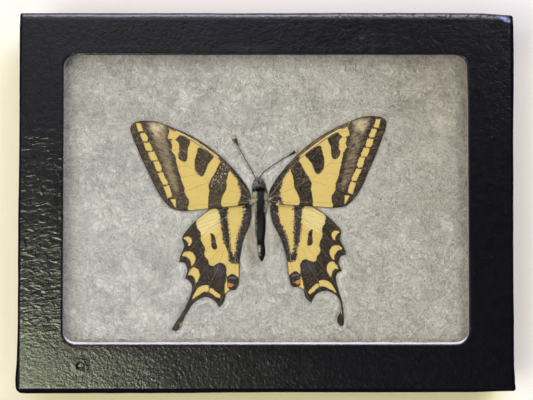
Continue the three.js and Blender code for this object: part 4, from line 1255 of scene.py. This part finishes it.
def height_at(x, y):
    """The pad's height at any place, blended between the four nearest points of its grid."""
    column = np.clip((x - columns[0]) / (columns[1] - columns[0]), 0, len(columns) - 1.001)
    row = np.clip((y - rows[0]) / (rows[1] - rows[0]), 0, len(rows) - 1.001)
    left, low = column.astype(int), row.astype(int)
    across, up = column - left, row - low
    bottom = pad_z[low, left] * (1 - across) + pad_z[low, left + 1] * across
    top = pad_z[low + 1, left] * (1 - across) + pad_z[low + 1, left + 1] * across
    return bottom * (1 - up) + top * up


def fibre_paths(count, seed):
    """Curling fibres on the pad: each sets out along a slow swirl and keeps a bend of its own, and its height
    is the pad's plus a gentle rise and fall. A few are bright and lie on top. Gives paths and tones."""
    rng = np.random.default_rng(seed)
    x = rng.uniform(batting_low[0] + 4, batting_high[0] - 4, count)
    y = rng.uniform(batting_low[1] + 4, batting_high[1] - 4, count)
    heading = SWIRL_TURN * drift(x, y, SWIRL_SIZE, 41) + rng.normal(0, FIBRE_SCATTER, count)
    length = rng.uniform(*FIBRE_LENGTH, count)
    bend = rng.normal(0, FIBRE_BEND, count)[:, None] + rng.normal(0, FIBRE_WOBBLE, (count, FIBRE_POINTS))
    heading = heading[:, None] + np.cumsum(bend, axis=1)
    step = (length / FIBRE_POINTS)[:, None]
    x = x[:, None] + np.cumsum(step * np.cos(heading), axis=1)
    y = y[:, None] + np.cumsum(step * np.sin(heading), axis=1)
    x, y = (np.clip(part, batting_low[axis] + 1, batting_high[axis] - 1) for axis, part in enumerate((x, y)))
    part = np.linspace(0, np.pi, FIBRE_POINTS)
    tone = np.clip(rng.uniform(0, 1, count) ** 2 * (1 + 0.6 * drift(x[:, 0], y[:, 0], 9, 43)), 0, 1)
    lift = 0.02 + np.sin(part) * ((0.03 + 0.25 * tone) * rng.uniform(0.4, 1, count))[:, None]
    z = np.minimum(height_at(x, y) + lift, FIBRE_TOP)
    return np.stack([x, y, z], axis=-1), tone


for bundle in range(FIBRE_PIECES):
    paths, tone = fibre_paths(FIBRE_COUNT // FIBRE_PIECES, 50 + bundle)
    thick = FIBRE_RADIUS * (0.55 + 0.6 * tone)
    fibre_points, fibre_faces = tubes(paths, np.repeat(thick[:, None], FIBRE_POINTS, axis=1), FIBRE_SIDES)
    fibre_tone = np.repeat(tone, FIBRE_POINTS * FIBRE_SIDES)
    fibre_looks = {"tone": fibre_tone, "painted_shade": painted_shade(*fibre_points[:, :2].T)}
    fibres = make_piece(f"batting_fibres_{bundle + 1}", fibre_points, fibre_faces, white_fibre, fibre_looks)
    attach(fibres, "root")


# ---------------------------------------------------------------- body
# The dried insect's head, thorax and abdomen grew as one piece, black and furred with fine hair: grey on the
# head, black along the back and cream down both sides. Its six legs are folded under the thorax.
BODY_SECTIONS = [
    [7.2, -0.4, 14.2, 0.35, 0.35], [6.6, -0.4, 14.2, 1.05, 0.95], [5.7, -0.35, 14.2, 1.4, 1.25],
    [4.8, -0.25, 14.1, 1.1, 1.05], [4.4, -0.15, 14, 0.9, 0.9], [3.8, 0, 13.8, 1.4, 1.5],
    [2.6, 0.1, 13.7, 1.75, 2.2], [0.9, 0.15, 13.6, 1.85, 2.5], [-0.9, 0.2, 13.7, 1.6, 2.1],
    [-2.3, 0.2, 13.8, 1.1, 1.35], [-4, 0.2, 13.8, 1.25, 1.4], [-6.5, 0.15, 13.7, 1.25, 1.35],
    [-9.2, 0.1, 13.7, 0.95, 1], [-10.6, 0.3, 13.7, 0.9, 0.85], [-12, 0.55, 13.75, 1.2, 0.95],
    [-13.3, 0.55, 13.75, 0.8, 0.7], [-14.5, 0.5, 13.75, 0.38, 0.35], [-15.2, 0.45, 13.75, 0.08, 0.08],
]
BODY_SIDES = 48
SEGMENT_LENGTH = 1.35
EYE_RADIUS = 0.75
EYE_OUT = 1.15
EYE_FORWARD = 5.9
EYE_ROWS = 16
EYE_SIDES = 24
EYE_BROWN = "#3b3633"
EYE_BROWN_PALE = "#5d5750"
EYE_ROUGHNESS = 0.35
EYE_FACET = 0.09
EYE_RELIEF = 0.01
HEAD_CENTRE = (-0.4, 14.3)
LEG_RADIUS = 0.16
LEG_PATHS = [
    [[0.7, 3.1, 12.4], [2, 4.2, 11.9], [1.5, 2.7, 10.9], [0.7, 0.8, 10.7]],
    [[0.9, 1.4, 11.7], [2.4, 1.9, 11.7], [1.9, 0.3, 11.2], [0.9, -1.2, 11.2]],
    [[0.8, -0.4, 12.1], [2, -0.7, 11.9], [1.6, -2, 11.8], [0.7, -3.1, 12.1]],
]
BODY_BLACK = "#030203"
BODY_BLACK_PALE = "#141212"
BODY_GREY = "#96989a"
BODY_GREY_PALE = "#c0c0bb"
BODY_CREAM = "#f4ebca"
BODY_CREAM_DULL = "#b4a682"
BODY_RELIEF = 0.03
BODY_SHINE = 0.1
SKIN_ROUGHNESS = 0.55
HAIR_ROUGHNESS = 0.7
PALE_PATCHES = ((0.5, 0.4, 76), (0.35, 0.9, 77))
HAIR_COUNT = 7600
HAIR_RADIUS = 0.04
HAIR_POINTS = 4
HAIR_SIDES = 3
HAIR_TOP = 16.55
NAP_LENGTH = 0.12
BACK_LENGTH = 0.14
SIDE_FUR_LENGTH = 0.85
HEAD_FUR_LENGTH = 0.45
ROOT_TUFTS = [[-1.4, 1.8, -0.9, -0.5], [-1.3, 1.2, -1.5, 0.1], [-3.9, -0.8, -0.9, -0.4], [2.3, 1.6, 0.6, 0.5],
              [4.3, 0.4, 1.1, 0.3]]
TUFT_HAIRS = 30
TUFT_RADIUS = 0.038
TUFT_HEIGHT = 15.75
body_line = smooth_line(BODY_SECTIONS, 10)


def body_place(along, angle):
    """Points on the body's skin: along counts the sections' rows and angle goes round them from the right
    side over the back. The abdomen is drawn in between its segments."""
    rows_here = np.clip(along, 0, len(body_line) - 1.001)
    low = rows_here.astype(int)
    part = (rows_here - low)[..., None]
    row = body_line[low] * (1 - part) + body_line[low + 1] * part
    forward, across, height, half_width, half_thickness = np.moveaxis(row, -1, 0)
    ring = np.cos(2 * np.pi * (forward + 2.3) / SEGMENT_LENGTH) ** 8
    draw = 1 - 0.07 * ring * ease(forward, -2, -3)
    return np.stack([across + half_width * draw * np.cos(angle), forward,
                     height + half_thickness * draw * np.sin(angle)], axis=-1)


def paleness(x, forward, seed):
    """How pale the body is at a place, from black 0 to cream 1: grey on the head, black along the back, cream
    down the thorax's sides and on the abdomen's left side and tip."""
    rough = 0.35 * np.random.default_rng(seed).uniform(-1, 1, x.shape)
    stripe_middle = 0.2 - 0.15 * ease(forward, 3, 4.5)
    stripe_half = 0.92 + 0.25 * ease(forward, 3.4, 4.2)
    beside = ease(abs(x - stripe_middle) + rough, stripe_half, stripe_half + 0.35)
    thorax = 0.92 * beside * ease(forward, -3.5, -2) * ease(forward, 4.8, 3.8)
    head = 0.75 * np.maximum(beside * ease(forward, 3.6, 4.6), ease(forward + rough, 5.1, 5.6))
    flank = ease(0.1 - x + rough, 0.8, 1.15) * ease(forward, -2, -4) * 0.9
    tip = 2.1 * ease(0.25 - x + rough, 0.1, 0.5) * ease(forward, -10.2, -11) * ease(forward, -13.6, -12.8)
    patchy = 0.6 + hills(x, forward, PALE_PATCHES)
    return np.clip(np.maximum.reduce([thorax, head, flank, tip]) * patchy, 0, 1)


def body_finish(name, roughness):
    """Black horn and hair that turn cream where the stored paleness says."""
    hair = Finish(name)
    pale = hair.read("paleness")
    fleck = hair.noise(0.25, 3, 0.6)
    dark = hair.mix(fleck, BODY_BLACK, BODY_BLACK_PALE)
    grey = hair.mix(fleck, BODY_GREY, BODY_GREY_PALE)
    cream = hair.mix(fleck, BODY_CREAM, BODY_CREAM_DULL)
    return hair.surface(
        Base_Color=hair.mix(pale.ramp(0.55, 0.9), hair.mix(pale.ramp(0, 0.5), dark, grey), cream),
        Roughness=roughness,
        Normal=hair.bump(hair.noise(0.1, 2), BODY_RELIEF),
        Specular_IOR_Level=BODY_SHINE,
    )


def at_butterfly(points):
    """Moves points from the butterfly's centre to its place in the box."""
    return points + np.array([*BUTTERFLY_CENTRE, 0])


body_along = np.linspace(0, len(body_line) - 1.001, 210)[:, None]
body_angle = np.arange(BODY_SIDES)[None, :] / BODY_SIDES * 2 * np.pi
body_rings = body_place(*np.broadcast_arrays(body_along, body_angle))
skin_points, skin_faces = loft(body_rings, False)
legs = np.array([smooth_line(path, 6) * [side, 1, 1] for side in (-1, 1) for path in LEG_PATHS])
leg_points, leg_faces = tubes(legs, np.full(legs.shape[:2], LEG_RADIUS), 6)
leg_faces = [group + len(skin_points) for group in leg_faces]
body_points = np.vstack([skin_points, leg_points])
body_pale = paleness(body_points[:, 0], body_points[:, 1], 71) * (body_points[:, 2] > 13)
body = make_piece("insect_body", at_butterfly(body_points), skin_faces + leg_faces,
                  body_finish("body_horn", SKIN_ROUGHNESS), {"paleness": body_pale})
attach(body, "root")
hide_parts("body")


def body_hair():
    """Fine hairs that stand out of the skin and lean back: long on head and flanks, a short nap elsewhere.
    Gives the tubes' points and faces, and the paleness of each hair."""
    rng = np.random.default_rng(81)
    along = rng.uniform(3, len(body_line) - 6, HAIR_COUNT)
    angle = rng.uniform(-0.35, np.pi + 0.35, HAIR_COUNT)
    foot = body_place(along, angle)
    forward = foot[:, 1]
    pale = paleness(foot[:, 0], forward, 82)
    side_fur = ease(pale, 0.4, 0.8) * ease(forward, -4, -1.5)
    length = (NAP_LENGTH + BACK_LENGTH * ease(forward, -14, -12) + SIDE_FUR_LENGTH * side_fur
              + HEAD_FUR_LENGTH * ease(forward, 5, 5.8))
    length = length * rng.uniform(0.6, 1.3, HAIR_COUNT)
    outward = np.column_stack([np.cos(angle), np.zeros(HAIR_COUNT), np.sin(angle)])
    lean = 0.7 - 1.1 * ease(forward, 5.2, 6.6)
    direction = outward * [1, 1, 0.55] + np.column_stack([np.zeros(HAIR_COUNT), -lean, np.zeros(HAIR_COUNT)])
    direction = direction + rng.normal(0, 0.28, (HAIR_COUNT, 3))
    direction /= np.linalg.norm(direction, axis=1, keepdims=True)
    part = np.linspace(0, 1, HAIR_POINTS)[None, :, None]
    droop = np.array([0, -0.35, -0.1]) * part**2
    paths = foot[:, None] + length[:, None, None] * (direction[:, None] * (part - 0.08) + droop)
    paths[:, :, 2] = np.minimum(paths[:, :, 2], HAIR_TOP)
    radii = HAIR_RADIUS * (1 - 0.85 * part[:, :, 0]) * rng.uniform(0.7, 1.2, (HAIR_COUNT, 1))
    points, faces = tubes(paths, radii, HAIR_SIDES)
    return points, faces, np.repeat(pale, HAIR_POINTS * HAIR_SIDES)


def root_tufts():
    """Cream tufts at the wings' roots: each row of ROOT_TUFTS is a foot and a lie, from which hairs fan out
    just above the wings."""
    rng = np.random.default_rng(83)
    foot, lie = np.hsplit(np.repeat(np.array(ROOT_TUFTS), TUFT_HAIRS, axis=0), 2)
    foot = foot + rng.normal(0, 0.12, foot.shape)
    lie = lie + rng.normal(0, 0.3, lie.shape)
    part = np.linspace(0, 1, HAIR_POINTS)[None, :, None]
    flat = foot[:, None] + lie[:, None] * part + rng.normal(0, 0.2, (len(foot), 1, 2)) * part**2
    height = TUFT_HEIGHT + 0.35 * np.sin(part * 2) + rng.uniform(0, 0.2, (len(foot), 1, 1))
    paths = np.concatenate([flat, np.broadcast_to(height, flat[:, :, :1].shape)], axis=2)
    return tubes(paths, TUFT_RADIUS * (1 - 0.8 * part[:, :, 0]) * np.ones((len(foot), 1)), HAIR_SIDES)


hair_points, hair_faces, hair_pale = body_hair()
hair = make_piece("insect_hair", at_butterfly(hair_points), hair_faces,
                  body_finish("body_hair", HAIR_ROUGHNESS), {"paleness": hair_pale})
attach(hair, "root")
tuft_points, tuft_faces = root_tufts()
tufts = make_piece("wing_root_tufts", at_butterfly(tuft_points), tuft_faces, hair.data.materials[0],
                   {"paleness": np.ones(len(tuft_points))})
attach(tufts, "root")

eye_finish = Finish("eye_facets")
eye_material = eye_finish.surface(
    Base_Color=eye_finish.mix(eye_finish.noise(0.5), EYE_BROWN, EYE_BROWN_PALE),
    Roughness=EYE_ROUGHNESS,
    Normal=eye_finish.bump(eye_finish.cells(EYE_FACET), EYE_RELIEF),
)
eye_azimuth = np.arange(EYE_SIDES) / EYE_SIDES * 2 * np.pi
polar, azimuth = np.meshgrid(np.linspace(0.06, np.pi - 0.06, EYE_ROWS), eye_azimuth, indexing="ij")
eye_rings = EYE_RADIUS * np.stack([
    -np.cos(polar), np.sin(polar) * np.cos(azimuth), np.sin(polar) * np.sin(azimuth)], axis=-1)
for side, side_name in ((-1, "left"), (1, "right")):
    eye_centre = [HEAD_CENTRE[0] + side * EYE_OUT, EYE_FORWARD, HEAD_CENTRE[1]]
    eye_points, eye_faces = loft(eye_rings + eye_centre, False)
    eye = make_piece(f"insect_eye_{side_name}", at_butterfly(eye_points), eye_faces, eye_material)
    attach(eye, "root")


# ---------------------------------------------------------------- antennae
# Two horny feelers of many short joints, which grow from the head between the eyes and lie on the batting.
# Each swells to a club with an orange tip.
ANTENNA_RADIUS = 0.1
CLUB_LENGTH = 2.8
CLUB_RADIUS = 0.4
JOINT_LENGTH = 0.42
ORANGE_TIP = 0.6
ANTENNA_POINTS = 40
ANTENNA_SIDES = 10
HORN_BLACK = "#160c0a"
HORN_ORANGE = "#f0ac24"
HORN_BROWN = "#4a3a2c"
HORN_ROUGHNESS = 0.5
HORN_SHINE = 0.15
HORN_RELIEF = 0.02

horn = Finish("antenna_horn")
from_tip = horn.read("from_tip")
horn_colour = horn.mix(from_tip.ramp(ORANGE_TIP + 0.12, ORANGE_TIP - 0.08), HORN_BLACK, HORN_ORANGE)
horn_material = horn.surface(
    Base_Color=horn.mix(horn.noise(0.3) * 0.25, horn_colour, HORN_BROWN),
    Roughness=HORN_ROUGHNESS,
    Specular_IOR_Level=HORN_SHINE,
    Normal=horn.bump(horn.noise(0.12, 2), HORN_RELIEF),
)
for antenna_name, antenna_path in ANTENNA_PATHS.items():
    line = smooth_line(antenna_path, ANTENNA_POINTS)
    travelled = np.concatenate([[0], np.cumsum(np.linalg.norm(np.diff(line, axis=0), axis=1))])
    remaining = travelled[-1] - travelled
    club = np.sin(np.pi * np.clip(1 - remaining / CLUB_LENGTH, 0, 1) ** 1.6) ** 0.7
    joints = 1 - 0.12 * np.cos(2 * np.pi * travelled / JOINT_LENGTH) ** 6
    shaft = ANTENNA_RADIUS * np.sqrt(np.clip(remaining / 0.12, 0.05, 1))
    radius = (shaft + (CLUB_RADIUS - ANTENNA_RADIUS) * club) * joints
    antenna_points, antenna_faces = tubes(line[None], radius[None], ANTENNA_SIDES)
    antenna = make_piece(antenna_name + "_shaft", at_butterfly(antenna_points), antenna_faces, horn_material,
                         {"from_tip": np.repeat(remaining, ANTENNA_SIDES)})
    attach(antenna, "root")
    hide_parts(antenna_name)
